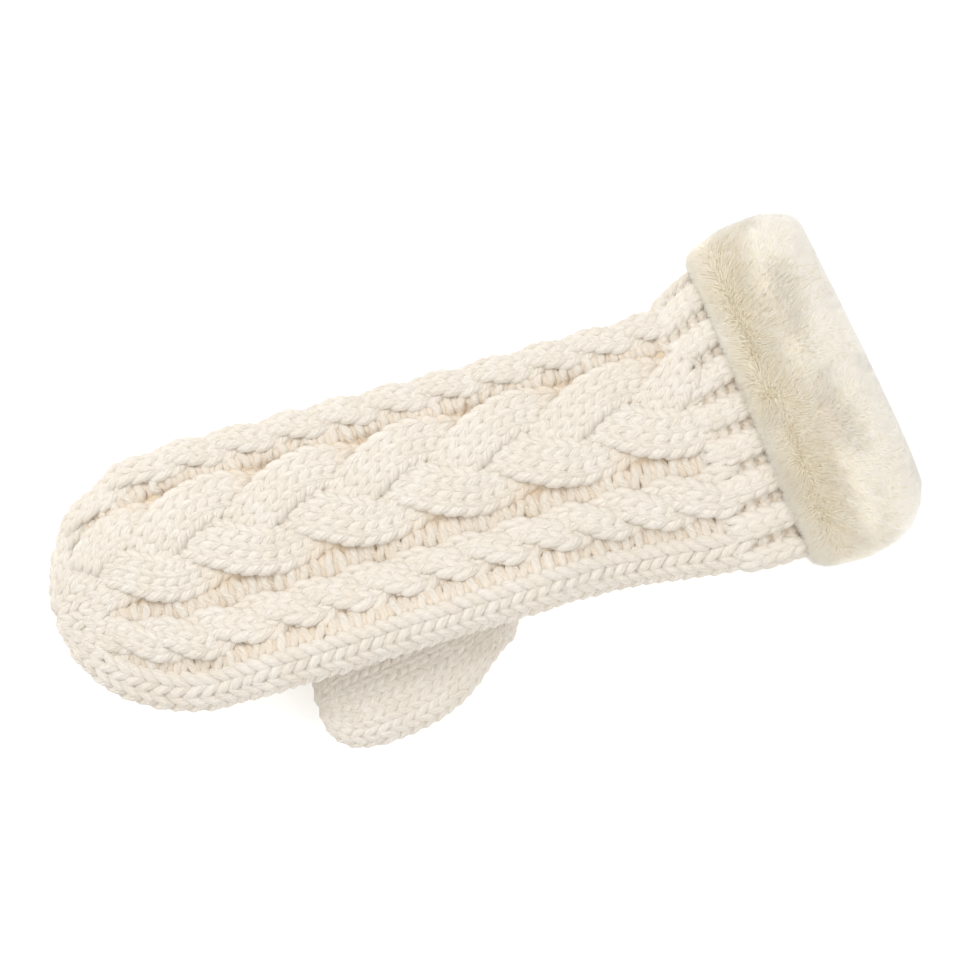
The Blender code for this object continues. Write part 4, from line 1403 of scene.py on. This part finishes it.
def hair_mesh(name, low, high, count, seed):
    """One mesh of hairs, each with its own tones."""
    pick = np.random.RandomState(seed)
    part, outer, root, bend, tip = hair_paths(pick, low, high, count)
    points = hair_points(pick, root, bend, tip)
    faces = np.array(HAIR_FACES)[None] + (np.arange(count) * HAIR_POINTS)[:, None, None]
    loops = faces.reshape(-1)
    made = bpy.data.meshes.new(name)
    made.vertices.add(count * HAIR_POINTS)
    made.vertices.foreach_set("co", points.astype(np.float32).ravel())
    made.loops.add(len(loops))
    made.loops.foreach_set("vertex_index", loops.astype(np.int32))
    made.polygons.add(len(loops) // 3)
    made.polygons.foreach_set("loop_start", (np.arange(len(loops) // 3) * 3).astype(np.int32))
    made.update(calc_edges=True)
    warm, grey = fur_tints_and_shade(outer, part)
    warm = np.repeat(np.clip(warm + pick.uniform(-0.22, 0.22, count), 0, 1), HAIR_POINTS)
    grey = np.repeat(np.clip(grey + pick.uniform(-0.16, 0.16, count), 0, 1), HAIR_POINTS)
    # Painted root shade: most at the root, little at the bend, none at the tip.
    levels = np.array([0.6] * HAIR_SIDES + [0.15] * HAIR_SIDES + [0.0])
    set_tones(made, warm=warm, grey=grey, root=np.tile(levels, count))
    made.shade_smooth()
    return made


pile = []
for group in range(HAIR_GROUPS):
    low, high = 2.0 * group / HAIR_GROUPS, 2.0 * (group + 1) / HAIR_GROUPS
    mesh = hair_mesh(f"fur_pile_{group + 1}", low, high, HAIRS // HAIR_GROUPS, 40 + group)
    pile.append(add_piece(mesh, FUR))
print("hairs:", HAIRS, "triangles:", sum(triangles(piece) for piece in pile))

# %% [markdown]
# The strip is sewn on with a thin thread at the knitting and again at the mouth, over and over
# the edge. Each seam is one thread that winds round the edge as it goes round the cuff.

# %% Skin and seams
THREAD = yarn_finish("sewing_thread", (0.80, 0.74, 0.64), (0.74, 0.67, 0.56))
THREAD_RADIUS, THREAD_SIDES = 0.45 * MM, 6
SEAM_TURNS, SEAM_STEPS = 88, 8
SEAM_HEIGHT, SEAM_WIND = 0.5 * MM, 0.9 * MM
SKIN_STEPS, SKIN_ROWS = 120, 18
SKIN_TOP, SKIN_UNDER = -0.1 * MM, -1.2 * MM


def skin_mesh():
    """The hide under the pile, as a closed ring with two sides."""
    angle = np.linspace(0, 2 * math.pi, SKIN_STEPS, endpoint=False)
    sides = []
    for level in (SKIN_TOP, SKIN_UNDER):
        heights = np.full(SKIN_STEPS, level)
        parts = np.linspace(-1, 0.98, SKIN_ROWS)
        sides.append([pile_place(angle, np.full(SKIN_STEPS, part), heights) for part in parts])
    return ring_mesh(sides[0] + sides[1][::-1], "fur_skin")


def seam_mesh(name, part, reach):
    """One thread that winds over the edge at that part of the strip."""
    strands = Strands(THREAD_SIDES)
    turn = np.linspace(0, 2 * math.pi, SEAM_TURNS * SEAM_STEPS + 1)[: -SEAM_STEPS // 2]
    wind = turn * SEAM_TURNS
    count = len(turn)
    path = pile_place(turn, part + reach * np.cos(wind), SEAM_HEIGHT + SEAM_WIND * np.sin(wind))
    out = pile_place(turn, np.full(count, part), np.full(count, 9 * MM)) - path
    strands.add(path, out, np.full(count, THREAD_RADIUS), np.full(count, 0.5), np.zeros(count))
    return strands.mesh(name)


skin = add_piece(skin_mesh(), HIDE)
cuff_seam = add_piece(seam_mesh("cuff_seam_stitches", -1.0, 0.10), THREAD)
mouth_seam = add_piece(seam_mesh("mouth_seam_stitches", 0.93, 0.05), THREAD)
print("seam triangles:", triangles(cuff_seam), triangles(mouth_seam))

# %% [markdown]
# ## Joining the pieces to the frame
# Each piece stands for the plain solids of the frame that it replaces, and those are hidden.
# Knitting has no hinge, yet the pieces of the hand are not bent here: the front and the rear,
# with the layers under them, keep the place where they were made, their transforms baked in.


def bend_hand(piece, part, nodes):
    """Bakes a front or a rear piece's transform into its mesh and hides any solids that it replaces.
    """
    if part == "front":
        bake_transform(piece)
    else:
        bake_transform(piece)
    if nodes:
        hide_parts(*nodes)


BODY_OF = {"front": "finger", "rear": "wrist"}
for (side, part), piece in knitted.items():
    bend_hand(piece, part, [f"{BODY_OF[part]}_{side}_knit", f"hand_{side}_knit"])
for (layer, part), piece in sleeves.items():
    lined = [f"{body}_lining_{side}" for body in (BODY_OF[part], "hand") for side in ("back", "palm")]
    bend_hand(piece, part, lined if layer == "lining" else [])

# %% [markdown]
# The thumb swings from its root, but its knitting and layers are only baked in place here,
# and the frame's solids of the thumb are hidden. The gusset stays with the hand. The cuff and
# its seams are stiff enough to ride whole, and each gather rides the tip that it closes.

for piece in (thumb, thumb_lining, thumb_ground):
    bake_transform(piece)
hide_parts("thumb_back_knit", "thumb_palm_knit")
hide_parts("thumb_lining_back", "thumb_lining_palm")
for body, piece, *nodes in (
    ("hand", gusset, "thumb_gusset_knit"),
    *(("cuff", piece, "fur_back", "fur_palm") for piece in (underpile, *pile)),
    ("cuff", skin, "fur_backing_back", "fur_backing_palm"),
    ("cuff", cuff_seam, "cuff_seam_thread"),
    ("cuff", mouth_seam, "mouth_seam_thread"),
    ("fingers", fingertip_gather, "fingertip_gather"),
    ("thumb", thumb_tip_gather, "thumb_tip_gather"),
):
    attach(piece, body)
    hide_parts(*nodes)

# %% [markdown]
# ## Finish
# The last line prints how many triangles the shown pieces have.

# %% Finish
total = sum(triangles(piece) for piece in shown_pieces())
print("triangles:", total)
